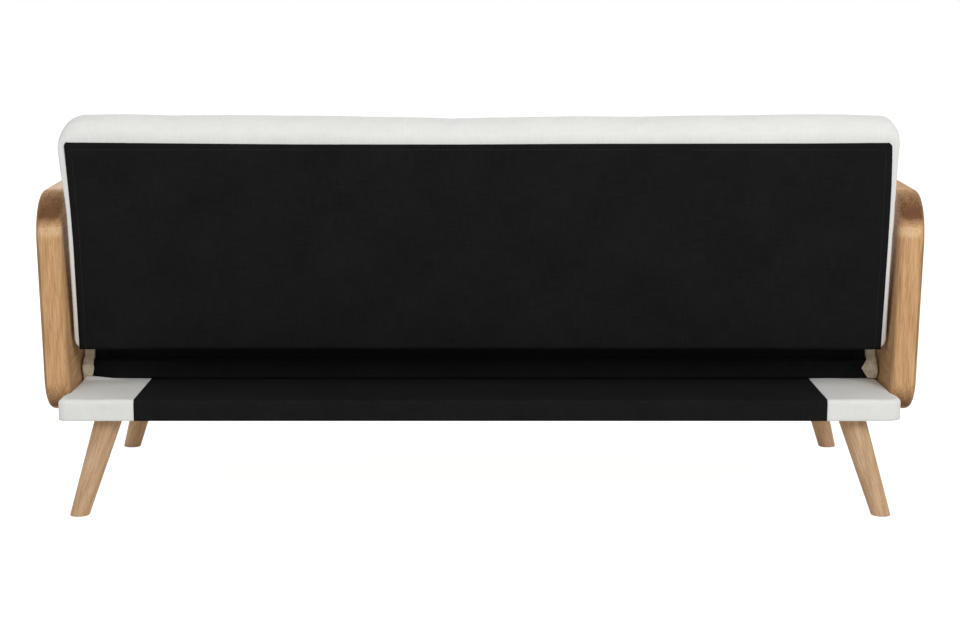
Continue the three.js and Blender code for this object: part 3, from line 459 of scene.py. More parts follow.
# The cream ends of the platform, each with the folds of its corner. Behind the arm the spare cloth stands off
# the base: on the left it makes a full, tight corner, on the right a rounder one.
for side, sign in (("left", 1), ("right", -1)):
    half_turn, across_count = 4, 40
    rear_corner, stand_off = (14.0, 9.0) if side == "left" else (plan_corner, 8.0)
    end_path, end_facing = fillet(
        [(seam_x + seam_gap, base_rear, 0), (base_half, base_rear, rear_corner),
         (base_half, seat_rear + seat_gap, 0)],
        [across_count, 60],
        2 * half_turn,
        False,
    )
    end_facing = -end_facing
    corner_at = across_count + half_turn
    places, weave = skirt(end_path, end_facing, rows_down)
    rim = places[:, 0]
    rear_rim, end_rim = rim[: corner_at + 1], rim[corner_at:][::-1]
    front_rim = np.stack([rear_rim[:, 0], np.full(len(rear_rim), seat_rear + seat_gap), rear_rim[:, 2]], 1)
    rear_span, front_span = [rear_rim[0, 0], rear_rim[-1, 0]], [rear_rim[0, 0], end_rim[0, 0]]
    front_rim[:, 0] = np.interp(rear_rim[:, 0], rear_span, front_span)
    seam_rim = np.stack([np.full(len(end_rim), seam_x + seam_gap), end_rim[:, 1], end_rim[:, 2]], 1)
    end_span, seam_span = [end_rim[0, 1], end_rim[-1, 1]], [seat_rear + seat_gap, base_rear - edge_round]
    seam_rim[:, 1] = np.interp(end_rim[:, 1], end_span, seam_span)
    top_grid = patch(front_rim, end_rim, rear_rim, seam_rim)
    top_weave = top_grid[:, :, :2].copy()
    # The cloth swells between its seam and its corner. On the right a crease 90 mm long runs in from the
    # corner of the seat, and on the left the cloth rises 8 mm there.
    for grid in (places, top_grid):
        for i, j in np.ndindex(grid.shape[:2]):
            x, y, z = grid[i, j]
            free = clamped((x - seam_x) / 25) * clamped((base_half - x) / 12)
            if z > 257:
                lift = 0.9 * free * (0.5 + ripple(x, y, 0, 60, 4.4 * sign))
                if side == "right":
                    along = (x - 833) * 0.68 + (y - 165) * 0.74
                    off = -(x - 833) * 0.74 + (y - 165) * 0.68
                    if 0 < along < 90:
                        crease = free * math.sin(math.pi * along / 90)
                        lift -= 2.2 * crease * math.exp(-((off / 4) ** 2))
                        lift += 2.0 * crease * math.exp(-(((off - 8) / 6) ** 2))
                else:
                    rising = clamped((x - 800) / 70) * clamped((base_half - x) / 10)
                    lift += 8.0 * rising * math.exp(-(((y - 171) / 8) ** 2))
                grid[i, j, 2] += lift
            elif y > 385 and z > base_under:
                pleats = 0.5 + ripple(x, 0, z * 2, 50, 6.6 * sign) + 0.5 * ripple(x, 0, z / 4, 9, 2.6)
                grid[i, j, 1] += 0.9 * free * pleats * clamped((z - base_under) / 8)
            behind_arm, outmost = clamped((y - 318) / 40), clamped((x - 860) / 38)
            grid[i, j, 0] += stand_off * behind_arm**2 * (3 - 2 * behind_arm) * outmost**2
    places[:, 0] = np.concatenate([top_grid[:, -1], top_grid[-1, ::-1][1:]])
    for grid in (places, top_grid):
        grid[:, :, 0] *= sign
    cream_end = cloth_sheet(
        f"platform_cream_end_{side}",
        [(places, weave), (top_grid, top_weave)],
        cream_cloth,
        sheet_thickness,
        lambda p: (p - np.array([sign * 800.0, 260.0, 200.0])),
    )
    fitted(cream_end, "base", f"platform_cover_cream_{side}")

# Leg plates and hanger bolts: pressed steel, zinc plated. Plating leaves a pale, softly mottled shine.
zinc, tree, shader = new_material("zinc_plated_steel", 0.36, 1.0)
place = add(tree, "ShaderNodeTexCoord").outputs["Object"]
spangle = add(tree, "ShaderNodeTexNoise", {"Vector": place, "Scale": 260.0, "Detail": 3.0}).outputs[0]
zinc_tones = add(tree, "ShaderNodeValToRGB", {0: spangle})
for stop, tone in zip(zinc_tones.color_ramp.elements, ("#8f959b", "#c3c6c8")):
    stop.color = linear(tone)
tree.links.new(zinc_tones.outputs[0], shader.inputs["Base Color"])
rough_spread = add(tree, "ShaderNodeMapRange", {0: spangle, 3: 0.28, 4: 0.46})
tree.links.new(rough_spread.outputs[0], shader.inputs["Roughness"])
leg_places = [f"{end}_{side}" for end in ("rear", "front") for side in sides]
leg_steel = ("leg_plate", "leg_bolt", "arm_bolt")
finish_nodes([f"{part}_{where}" for part in leg_steel for where in leg_places], zinc)


# Legs: turned oak, 200 mm long, tapered towards the foot and splayed, with a small rounded edge at the floor.
# Oil brings the grain out as brown streaks, and the end grain at foot and top is darker.
def oiled_oak(name, light, dark, end_tone, gloss):
    """Oak on the 'grain' attribute, metres with the fibres along Z: rings 7 mm apart, pores 1 mm wide."""
    made, tree, shader = new_material(name, 0.55, Specular_IOR_Level=gloss)
    grain = add(tree, "ShaderNodeAttribute", attribute_name="grain").outputs["Vector"]
    slow = add(tree, "ShaderNodeMapping", {"Vector": grain, "Scale": (1.0, 1.0, 0.16)}).outputs[0]
    inputs = {"Vector": slow, "Scale": 6.0, "Detail": 3.0}
    drift = add(tree, "ShaderNodeTexNoise", inputs).outputs["Color"]
    inputs = {0: drift, 1: (0.03, 0.03, 0.0), 2: slow}
    bent = add(tree, "ShaderNodeVectorMath", inputs, operation="MULTIPLY_ADD").outputs[0]
    inputs = {"Vector": bent, "Scale": 22.0, "Distortion": 3.5, "Detail": 3.0, "Detail Scale": 1.6}
    rings = add(tree, "ShaderNodeTexWave", inputs, bands_direction="DIAGONAL").outputs["Fac"]
    long_run = add(tree, "ShaderNodeMapping", {"Vector": grain, "Scale": (1.0, 1.0, 0.035)}).outputs[0]
    inputs = {"Vector": long_run, "Scale": 330.0, "Detail": 4.0, "Roughness": 0.7}
    fibres = add(tree, "ShaderNodeTexNoise", inputs).outputs[0]
    inputs = {"Vector": long_run, "Scale": 900.0, "Detail": 1.0}
    pore_noise = add(tree, "ShaderNodeTexNoise", inputs).outputs[0]
    pores = add(tree, "ShaderNodeMapRange", {0: pore_noise, 1: 0.6, 2: 0.74, 3: 0.0, 4: 0.45}).outputs[0]
    patches = add(tree, "ShaderNodeTexNoise", {"Vector": slow, "Scale": 16.0, "Detail": 2.0}).outputs[0]
    total = -0.48
    for socket, share in ((rings, 0.16), (fibres, 1.35), (patches, 0.4), (pores, 1.0)):
        inputs = {0: socket, 1: share, 2: total}
        total = add(tree, "ShaderNodeMath", inputs, operation="MULTIPLY_ADD").outputs[0]
    inputs = {"Factor": total, 6: linear(light), 7: linear(dark)}
    side_tone = add(tree, "ShaderNodeMix", inputs, data_type="RGBA").outputs[2]
    # The attribute marks end grain; on the arms it also holds painted shade along the outer edges
    cut_across_and_painted_light = add(tree, "ShaderNodeAttribute", attribute_name="end_grain_and_painted_light").outputs["Fac"]
    inputs = {0: fibres, 1: 0.6, 2: cut_across_and_painted_light}
    ragged = add(tree, "ShaderNodeMath", inputs, operation="MULTIPLY_ADD").outputs[0]
    open_end_and_painted_shade = add(tree, "ShaderNodeMapRange", {0: ragged, 1: 0.46, 2: 1.1, 3: 0.0, 4: 0.88}).outputs[0]
    inputs = {"Factor": open_end_and_painted_shade, 6: side_tone, 7: linear(end_tone)}
    darkened = add(tree, "ShaderNodeMix", inputs, data_type="RGBA").outputs[2]
    # Below nought the same attribute marks a painted highlight: the pale patch on the arms' lipping under the
    # top joint
    inputs = {0: fibres, 1: 0.8, 2: cut_across_and_painted_light}
    ragged = add(tree, "ShaderNodeMath", inputs, operation="MULTIPLY_ADD").outputs[0]
    painted_highlight = add(tree, "ShaderNodeMapRange", {0: ragged, 1: -0.6, 2: 0.1, 3: 0.55, 4: 0.0}).outputs[0]
    inputs = {"Factor": painted_highlight, 6: darkened, 7: linear("#e6cba4")}
    tone = add(tree, "ShaderNodeMix", inputs, data_type="RGBA").outputs[2]
    tree.links.new(tone, shader.inputs["Base Color"])
    inputs = {"Height": fibres, "Strength": 0.35, "Distance": 0.0005}
    tree.links.new(add(tree, "ShaderNodeBump", inputs).outputs[0], shader.inputs["Normal"])
    return made


def tree_with_inputs(name, inputs):
    """An empty Geometry Nodes tree with a geometry socket each way and named inputs for its sizes."""
    made = bpy.data.node_groups.new(name, "GeometryNodeTree")
    made.interface.new_socket("Geometry", in_out="INPUT", socket_type="NodeSocketGeometry")
    made.interface.new_socket("Geometry", in_out="OUTPUT", socket_type="NodeSocketGeometry")
    for label, kind in inputs.items():
        made.interface.new_socket(label, in_out="INPUT", socket_type=kind)
    return made, add(made, "NodeGroupInput"), add(made, "NodeGroupOutput")


def grown(name, start_mesh, made_tree, values):
    """An object whose mesh the tree makes, with each named input set before it is first evaluated."""
    obj = bpy.data.objects.new(name, start_mesh)
    modifier = obj.modifiers.new("grown", "NODES")
    modifier.node_group = made_tree
    sockets = {s.name: s.identifier for s in made_tree.interface.items_tree if s.in_out == "INPUT"}
    for label, value in values.items():
        modifier[sockets[label]] = value
    scene.collection.objects.link(obj)
    return baked(obj)


FLOAT, VECTOR, MATERIAL, COUNT = "NodeSocketFloat", "NodeSocketVector", "NodeSocketMaterial", "NodeSocketInt"
leg_tree, given, made_out = tree_with_inputs(
    "turned_leg",
    {"Foot": VECTOR, "Lean": VECTOR, "Cut From": VECTOR, "Height": FLOAT, "Foot Radius": FLOAT,
     "Top Radius": FLOAT, "Stretch": FLOAT, "Sides": COUNT, "Finish": MATERIAL},
)
want = given.outputs
top_end = add(leg_tree, "ShaderNodeCombineXYZ", {"Z": want["Height"]})
axis_line = add(leg_tree, "GeometryNodeCurvePrimitiveLine", {"End": top_end.outputs[0]})
stations = add(leg_tree, "GeometryNodeResampleCurve", {"Curve": axis_line.outputs[0], "Count": 15})
share = add(leg_tree, "GeometryNodeSplineParameter").outputs["Factor"]
taper = add(leg_tree, "ShaderNodeMapRange", {0: share, 3: want["Foot Radius"], 4: want["Top Radius"]})
inputs = {"Resolution": want["Sides"], "Radius": 1.0}
round_section = add(leg_tree, "GeometryNodeCurvePrimitiveCircle", inputs)
inputs = {"Curve": stations.outputs[0], "Profile Curve": round_section.outputs[0]}
inputs.update({"Scale": taper.outputs[0], "Fill Caps": True})
turned = add(leg_tree, "GeometryNodeCurveToMesh", inputs)
where_now = add(leg_tree, "GeometryNodeInputPosition").outputs[0]
from_board = add(leg_tree, "ShaderNodeVectorMath", {0: where_now, 1: want["Cut From"]}, operation="ADD")
inputs = {"Geometry": turned.outputs[0], "Name": "grain", "Value": from_board.outputs[0]}
marked = add(leg_tree, "GeometryNodeStoreNamedAttribute", inputs, data_type="FLOAT_VECTOR")
# A leaning round bar is longer across its lean: the part of each point that lies along the lean is stretched
lean_way = add(leg_tree, "ShaderNodeVectorMath", {0: want["Lean"]}, operation="NORMALIZE").outputs[0]
in_lean = add(leg_tree, "ShaderNodeVectorMath", {0: where_now, 1: lean_way}, operation="DOT_PRODUCT")
inputs = {0: in_lean.outputs["Value"], 1: want["Stretch"]}
extra = add(leg_tree, "ShaderNodeMath", inputs, operation="MULTIPLY").outputs[0]
stretched = add(leg_tree, "ShaderNodeVectorMath", {0: lean_way, "Scale": extra}, operation="SCALE")
height_now = add(leg_tree, "ShaderNodeSeparateXYZ", {0: where_now}).outputs["Z"]
sideways = add(leg_tree, "ShaderNodeVectorMath", {0: want["Lean"], "Scale": height_now}, operation="SCALE")
inputs = {0: stretched.outputs[0], 1: sideways.outputs[0]}
moved = add(leg_tree, "ShaderNodeVectorMath", inputs, operation="ADD").outputs[0]
to_foot = add(leg_tree, "ShaderNodeVectorMath", {0: moved, 1: want["Foot"]}, operation="ADD").outputs[0]
leaning = add(leg_tree, "GeometryNodeSetPosition", {"Geometry": marked.outputs[0], "Offset": to_foot})
one_mesh = add(leg_tree, "GeometryNodeRealizeInstances", {"Geometry": leaning.outputs[0]})
inputs = {"Geometry": one_mesh.outputs[0], "Material": want["Finish"]}
finished = add(leg_tree, "GeometryNodeSetMaterial", inputs)
leg_tree.links.new(finished.outputs[0], made_out.inputs[0])


def mark_end_grain(mesh, fibre, share=1.0):
    """Writes per corner how squarely the surface cuts the fibres, from 0 to 1."""
    normals = read_out(mesh.corner_normals, "vector")
    squarely = np.abs(normals @ np.array(fibre)) ** 2 * share
    mesh.attributes.new("end_grain_and_painted_light", "FLOAT", "CORNER").data.foreach_set("value", squarely)


leg_oak = oiled_oak("oiled_oak_turned", "#dfc19f", "#a47c56", "#8a6545", 0.12)
leg_height, foot_radius, top_radius, foot_spread = 209.4, 20, 29, 870
splay = (0.30, 0.20)  # sideways and lengthways, for each millimetre of height
slant = math.sqrt(1 + splay[0] ** 2 + splay[1] ** 2)
for where, foot_y in (("rear", 387.0), ("front", -313.0)):
    for number, (side, sign) in enumerate((("left", 1), ("right", -1))):
        lean = Vector((-sign * splay[0], -math.copysign(splay[1], foot_y), 0))
        leg = grown(
            f"turned_leg_{where}_{side}",
            bpy.data.meshes.new("leg"),
            leg_tree,
            {
                "Foot": Vector((sign * foot_spread, foot_y, 0)) * MM,
                "Lean": lean,
                "Cut From": Vector((0.3 + 0.11 * number, 0.2 + foot_y * MM, 0.9)),
                "Height": leg_height * MM,
                "Foot Radius": foot_radius * MM,
                "Top Radius": top_radius * MM,
                "Stretch": slant - 1,
                "Sides": 48,
                "Finish": leg_oak,
            },
        )
        softened = leg.modifiers.new("edge", "BEVEL")
        softened.width = 2 * MM
        softened.segments = 3
        softened.angle_limit = math.radians(60)
        baked(leg)
        leg.data.shade_smooth()
        leg.data.set_sharp_from_angle(angle=math.radians(50))
        mark_end_grain(leg.data, (0, 0, 1))
        fitted(leg, "base", f"leg_{where}_{side}")

# Arms: each a loop of two oak posts and two oak rails, 55 mm thick, glued and rounded over, then bolted
# through the posts into the base. A 38 mm lipping with upright grain edges the posts, which have level grain.
arm_oak = oiled_oak("oiled_oak_planed", "#e1b98b", "#9f7045", "#54301a", 0.1)
arm_thick, arm_edge, arm_lean = 55.0, 13.0, math.radians(1.6)
arm_inner, arm_under = 898.5, 208.3
arm_rear, arm_front, arm_high_rear, arm_high_front = 312.5, -378.0, 483.0, 501.0
post_wide, rail_high, window_top = 135.0, 123.0, 413.0
lipping = 38.0
outer_points, outer_normals = fillet(
    [(arm_rear, 0, 75), (arm_rear, arm_high_rear, 110), (arm_front, arm_high_front, 110), (arm_front, 0, 75)],
    [16, 26, 16, 26],
    14,
    True,
)
window_points, window_normals = fillet(
    [(arm_rear - post_wide, rail_high, 35), (arm_rear - post_wide, window_top, 35),
     (arm_front + post_wide, window_top, 35), (arm_front + post_wide, rail_high, 35)],
    [16, 26, 16, 26],
    14,
    True,
)
turns = [math.radians(90 * k / 6) for k in range(7)]
rounded = [(arm_edge * (1 - math.cos(a)), arm_edge * (1 - math.sin(a))) for a in turns]
across_outer = rounded + [(arm_thick - x, t) for x, t in rounded[::-1]]
section = [(0.0, t, x) for x, t in across_outer]
section += [(share, arm_edge, arm_thick) for share in (0.2, 0.4, 0.6, 0.8)]
section += [(1.0, t, arm_thick - x) for x, t in across_outer]
section += [(share, arm_edge, 0.0) for share in (0.8, 0.6, 0.4, 0.2)]
loop_points, loop_faces = [], []
for o, n, w, m in zip(outer_points, outer_normals, window_points, window_normals):
    for share, t, x in section:
        place_here = (1 - share) * (o - t * n) + share * (w + t * m)
        loop_points.append((x, place_here[0], place_here[1]))
many, round_count = len(outer_points), len(section)
for k in range(many):
    here, beyond = k * round_count, (k + 1) % many * round_count
    for p in range(round_count):
        q = (p + 1) % round_count
        loop_faces.append((here + p, beyond + p, beyond + q, here + q))


def sawn(points, faces, keep_planes, mark_planes=()):
    """The part of a closed solid on the kept side of each plane, shut; other planes only leave an edge."""
    body = bmesh.new()
    verts = [body.verts.new(p) for p in points]
    for f in faces:
        body.faces.new([verts[i] for i in f])
    bmesh.ops.recalc_face_normals(body, faces=body.faces)
    for clears, planes in ((False, mark_planes), (True, keep_planes)):
        for at, facing in planes:
            cut = {"plane_co": at, "plane_no": facing, "clear_outer": clears, "dist": 1e-4}
            bmesh.ops.bisect_plane(body, geom=body.verts[:] + body.edges[:] + body.faces[:], **cut)
            if clears:
                bmesh.ops.edgeloop_fill(body, edges=[e for e in body.edges if e.is_boundary])
    bmesh.ops.recalc_face_normals(body, faces=body.faces)
    body.verts.ensure_lookup_table()
    made_points = [tuple(v.co) for v in body.verts]
    made_faces = [[v.index for v in f.verts] for f in body.faces]
    body.free()
    return made_points, made_faces


def rod(radius, start, stop, count=32):
    """A closed round bar along X from one place to another, at (y, z) of start, in millimetres."""
    angles = [2 * math.pi * k / count for k in range(count)]
    ring = [(start[1] + radius * math.cos(a), start[2] + radius * math.sin(a)) for a in angles]
    points = [(x, y, z) for x in (start[0], stop) for y, z in ring]
    faces = [(k, k + count, (k + 1) % count + count, (k + 1) % count) for k in range(count)]
    faces += [tuple(range(count)), tuple(range(2 * count - 1, count - 1, -1))]
    return points, faces


def cut_away(obj, cutters):
    """Takes closed solids, given as points and faces in millimetres, out of a piece."""
    for points, faces in cutters:
        cutter = object_from("cutter", points, faces, obj.data.materials[0])
        turned_out = bmesh.new()
        turned_out.from_mesh(cutter.data)
        bmesh.ops.recalc_face_normals(turned_out, faces=turned_out.faces)
        turned_out.to_mesh(cutter.data)
        turned_out.free()
        taking = obj.modifiers.new("cut", "BOOLEAN")
        taking.operation = "DIFFERENCE"
        taking.solver = "EXACT"
        taking.object = cutter
        baked(obj)
        bpy.data.objects.remove(cutter)
    return obj


joint_top, joint_gap, window_middle = 411.0, 0.05, 241.0
joint_rear, joint_front = arm_rear - post_wide - 2, arm_front + post_wide + 2
up, down, rearwards, forwards = (0, 0, 1), (0, 0, -1), (0, 1, 0), (0, -1, 0)
edge_marks = [((0, arm_rear - lipping, 0), rearwards), ((0, arm_front + lipping, 0), rearwards)]
edge_marks += [((0, 0, joint_top - below), up) for below in (6, 12, 18, 24, 30, 36)]
post_end = ((0, 0, joint_top - joint_gap), up)
arm_parts = {
    "arm_top_rail": ([((0, 0, joint_top + joint_gap), down)], "y"),
    "arm_low_rail": (
        [((0, joint_rear - joint_gap, 0), rearwards), ((0, joint_front + joint_gap, 0), forwards),
         ((0, 0, window_middle), up)],
        "y",
    ),
    "arm_post_rear": ([post_end, ((0, joint_rear + joint_gap, 0), forwards)], "z"),
    "arm_post_front": ([post_end, ((0, joint_front - joint_gap, 0), rearwards)], "z"),
}
bolt_height, head_radius, bore_radius, head_deep = 29.0, 10.4, 4.4, 8
bolt_ys = {"arm_post_rear": arm_rear - post_wide / 2, "arm_post_front": arm_front + post_wide / 2}
for part_number, (part, (planes, fibre)) in enumerate(arm_parts.items()):
    marks = edge_marks if fibre == "z" else ()
    points, faces = sawn(loop_points, loop_faces, planes, marks)
    for side, sign in (("left", 1), ("right", -1)):
        arm_piece = object_from(f"oak_{part}_{side}", points, faces, arm_oak)
        if part in bolt_ys:
            y = bolt_ys[part]
            head = rod(head_radius, (arm_thick - head_deep, y, bolt_height), arm_thick + 10)
            bore = rod(bore_radius, (-10, y, bolt_height), arm_thick + 10)
            cut_away(arm_piece, [head, bore])
        mesh = arm_piece.data
        mesh.shade_smooth()
        mesh.set_sharp_from_angle(angle=math.radians(35))
        local = read_out(mesh.vertices, "co")[read_out(mesh.loops, "vertex_index", int)]
        centres = np.array([f.center.y for f in mesh.polygons]) / MM
        totals = read_out(mesh.polygons, "loop_total", int)
        in_lipping = np.repeat((centres > arm_rear - lipping) | (centres < arm_front + lipping), totals)
        upright_grain = in_lipping & (fibre == "z")
        grain = np.where(upright_grain[:, None], local, local[:, [0, 2, 1]])
        grain = grain + np.array([0.21 * part_number + 0.5 * (sign < 0), 0.13 * part_number, 0.4 * sign])
        mesh.attributes.new("grain", "FLOAT_VECTOR", "CORNER").data.foreach_set("vector", grain.ravel())
        normals = np.abs(read_out(mesh.corner_normals, "vector"))
        squarely = np.where(upright_grain, normals[:, 2], normals[:, 1])
        height = local[:, 2] / MM
        if part == "arm_top_rail":
            # The end of the top rail runs out into long grain towards its joint with the post
            squarely = squarely**0.7 * np.clip((height - joint_top + 4) / 28, 0, 1)
        # Rounded outer edges are darker: partly oil soaked in, partly painted shade where light falls off
        oiled_edge_and_painted_shade = 4 * normals[:, 0] ** 2 * (1 - normals[:, 0] ** 2) * (local[:, 0] / MM > 0.6 * arm_thick)
        squarely = np.maximum(squarely, 0.5 * oiled_edge_and_painted_shade)
        if fibre == "z":
            # The lipping just under the top joint is paler: a painted highlight, written below nought
            pale = np.clip((height - joint_top + 32) / 18, 0, 1) * (local[:, 1] / MM > arm_rear - lipping)
            squarely = squarely - pale * (1 - oiled_edge_and_painted_shade)
        mesh.attributes.new("end_grain_and_painted_light", "FLOAT", "CORNER").data.foreach_set("value", squarely)
        stand = Matrix.Translation(Vector((arm_inner, 0, arm_under)) * MM) @ Matrix.Rotation(arm_lean, 4, "Y")
        if sign < 0:
            mesh.transform(Matrix.Scale(-1, 4, Vector((1, 0, 0))) @ stand)
            mesh.flip_normals()
        else:
            mesh.transform(stand)
        fitted(arm_piece, "base", f"{part}_{side}")


# Seat cushion: foam and wadding in a cream cover, boxed, glued down over the seat panel and pulled down to
# the frame at its sides and front. The filling presses the cover out between its seams.
def graded(low, high, margin, fine, coarse):
    """Places along an edge: close together near both ends, wider apart between."""
    near = np.linspace(low, low + margin, round(margin / fine) + 1)
    middle = np.linspace(low + margin, high - margin, round((high - low - 2 * margin) / coarse) + 1)
    return np.concatenate([near[:-1], middle, (low + high - near[::-1])[1:]])


class Cushion:
    """A closed boxed form: a flat grid below, rings up its sides and over its edge, and a grid on top."""

    def __init__(self, low, high, radii, rings):
        xs = graded(low[0], high[0], 63, 7, 14)
        ys = graded(low[1], high[1], 63, 7, 14)
        u, v = (xs - xs[0]) / (xs[-1] - xs[0]), (ys - ys[0]) / (ys[-1] - ys[0])
        nx, ny = len(u), len(v)
        border = [(i, 0) for i in range(nx - 1)] + [(nx - 1, j) for j in range(ny - 1)]
        border += [(i, ny - 1) for i in range(nx - 1, 0, -1)] + [(0, j) for j in range(ny - 1, 0, -1)]
        shares = np.array([(u[i], v[j]) for i, j in border])
        radius = np.where(shares[:, 1] < 0.5, radii[0], np.where(shares[:, 0] < 0.5, radii[1], radii[2]))

        def ring(inset):
            near, far = np.array(low) + inset, np.array(high) - inset
            r = np.maximum(radius - inset, 0.25 * radius)[:, None]
            place = near + (far - near) * shares
            centre = np.clip(place, near + r, far - r)
            off = place - centre
            return centre + off / np.linalg.norm(off, axis=1)[:, None] * r

        def cap(edge):
            bottom, right = edge[:nx], edge[nx - 1 : nx + ny - 1]
            top = edge[nx + ny - 2 : 2 * nx + ny - 2][::-1]
            left = np.concatenate([edge[2 * nx + ny - 3 :], edge[:1]])[::-1]
            return patch(bottom, right, top, left, u, v)

        grid_ids = np.arange(nx * ny).reshape(nx, ny)
        border_ids = np.array([grid_ids[i, j] for i, j in border])
        points = [np.dstack([cap(ring(rings[0][1])), np.full((nx, ny), rings[0][0])]).reshape(-1, 3)]
        self.ring_ids = [border_ids]
        count = nx * ny
        for height, inset in rings[1:-1]:
            edge = ring(inset)
            points.append(np.column_stack([edge, np.full(len(edge), height)]))
            self.ring_ids.append(np.arange(count, count + len(edge)))
            count += len(edge)
        top_cap = cap(ring(rings[-1][1]))
        points.append(np.dstack([top_cap, np.full((nx, ny), rings[-1][0])]).reshape(-1, 3))
        self.ring_ids.append(count + border_ids)
        self.points = np.concatenate(points)
        quads = grid_faces(grid_ids)
        faces = [quads[:, ::-1], quads + count]
        for a, b in zip(self.ring_ids, self.ring_ids[1:]):
            faces.append(np.stack([a, np.roll(a, -1), np.roll(b, -1), b], 1))
        self.faces = np.concatenate(faces)


edge_steps, seam_step, seam_deep = 8, 5, 1.3


def edge_rings(levels, top, top_radius):
    """Heights and insets up the sides, then round the upper edge, where the seam draws one ring in."""
    quarter = [math.pi / 2 * k / edge_steps for k in range(edge_steps + 1)]
    upper = [(top - top_radius * (1 - math.sin(a)), top_radius * (1 - math.cos(a))) for a in quarter]
    upper[seam_step] = (upper[seam_step][0] - seam_deep, upper[seam_step][1] + seam_deep)
    return [(level, 0.0) for level in levels] + upper


def filled(obj, pinned, slack, cap):
    """Blows the cover up against its pinned seams; no point moves further than the cap, in millimetres."""
    start = read_out(obj.data.vertices, "co")
    held = obj.vertex_groups.new(name="held")
    held.add([int(i) for i in pinned], 1.0, "REPLACE")
    cloth = obj.modifiers.new("filling", "CLOTH")
    rules = cloth.settings
    rules.quality = 5
    rules.mass = 0.3
    rules.tension_stiffness = 18
    rules.compression_stiffness = 18
    rules.shear_stiffness = 8
    rules.bending_stiffness = 0.6
    rules.shrink_min = -slack
    rules.use_pressure = True
    rules.uniform_pressure_force = 5.0
    rules.vertex_group_mass = "held"
    rules.effector_weights.gravity = 0
    cloth.point_cache.frame_start = 1
    cloth.point_cache.frame_end = 20
    for step in range(1, 21):
        scene.frame_set(step)
    seen = obj.evaluated_get(bpy.context.evaluated_depsgraph_get())
    after = read_out(seen.data.vertices, "co")
    obj.modifiers.clear()
    obj.vertex_groups.clear()
    scene.frame_set(1)
    shift = after - start
    far = np.linalg.norm(shift, axis=1)
    shift *= np.minimum(1, cap * MM / np.maximum(far, 1e-9))[:, None]
    obj.data.vertices.foreach_set("co", (start + shift).ravel())
    obj.data.update()


def lay_weave(mesh):
    """The cloth's own coordinates, in metres: threads run straight over each panel of the cover."""
    totals = read_out(mesh.polygons, "loop_total", int)
    facing = np.repeat(np.abs(read_out(mesh.polygons, "normal")).argmax(1), totals)
    place_at = read_out(mesh.vertices, "co")[read_out(mesh.loops, "vertex_index", int)]
    across = np.where(facing == 0, place_at[:, 1], place_at[:, 0])
    along = np.where(facing == 2, place_at[:, 1], place_at[:, 2])
    layer = mesh.uv_layers.new(name="weave")
    layer.data.foreach_set("uv", np.stack([across, along], 1).ravel())


def box(x0, x1, y0, y1, z0, z1):
    """The points and faces of a plain box, for cutting with."""
    points = [(x, y, z) for x in (x0, x1) for y in (y0, y1) for z in (z0, z1)]
    return points, [(0, 1, 3, 2), (4, 6, 7, 5), (0, 4, 5, 1), (2, 3, 7, 6), (0, 2, 6, 4), (1, 5, 7, 3)]


def upholstered(cushion, form, held, slack, cap, cutters):
    """Fills, rounds and cuts out the cover for what it holds, and gives the sewn line beside its seam."""
    seam_at = len(form.ring_ids) - 1 - edge_steps + seam_step
    filled(cushion, np.concatenate([held, form.ring_ids[seam_at]]), slack, cap)
    rounder = cushion.modifiers.new("rounder", "SUBSURF")
    rounder.levels = rounder.render_levels = 1
    baked(cushion)
    beside_seam = read_out(cushion.data.vertices, "co")[form.ring_ids[seam_at + 1]]
    cut_away(cushion, cutters)
    lay_weave(cushion.data)
    cushion.data.set_sharp_from_angle(angle=math.radians(60))
    return beside_seam


seat_half, cushion_front, cushion_rear = 893.0, -400.0, 122.0
seat_low, seat_high, seat_round = 256.0, 430.0, 38.0
seat_crown, front_crown, seat_draw = 14.0, 10.0, 4.0
levels = list(np.linspace(seat_low, seat_high - seat_round, 12))[:-1]
seat_rings = edge_rings(levels, seat_high, seat_round)
seat_corners = (26.0, 26.0, 26.0)
seat_form = Cushion((-seat_half, cushion_front), (seat_half, cushion_rear), seat_corners, seat_rings)
p = seat_form.points
middle_y, half_y = (cushion_rear + cushion_front) / 2, (cushion_rear - cushion_front) / 2
across = p[:, 0] / seat_half
along = (p[:, 1] - middle_y) / half_y
rise = (p[:, 2] - seat_low) / (seat_high - seat_low)
swell = np.sin(math.pi * rise) ** 2
soft = 0.6
p[:, 0] -= seat_draw * across**7 * (1 - along**2)
p[:, 1] -= np.where(along < 0, soft * front_crown * along**8 * swell * (1 - across**6), 0)
p[:, 2] += soft * seat_crown * rise**6 * (1 - across**6) * (1 - along**4)
seat_cushion = object_from("seat_foam_cushion", p, seat_form.faces, cream_cloth)
sides_held = np.where((p[:, 2] < seat_low + 26) | (np.abs(p[:, 1] - cushion_rear) < 1) & (p[:, 2] < 392))[0]
# Below it is hollow, 0.3 mm clear of the frame, with a slot at each end for the hinge
hollow = box(-882.3, 882.3, -385.3, 700, 200, 299.9)
slot_x = (842.8, 860.3)
slots = [box(*sorted((s * slot_x[0], s * slot_x[1])), 105.5, 700, 200, 418.1) for s in (1, -1)]
seat_stitch_path = upholstered(seat_cushion, seat_form, sides_held, 0.01, 10.0, [hollow, *slots])
fitted(seat_cushion, "base", "seat_cushion")

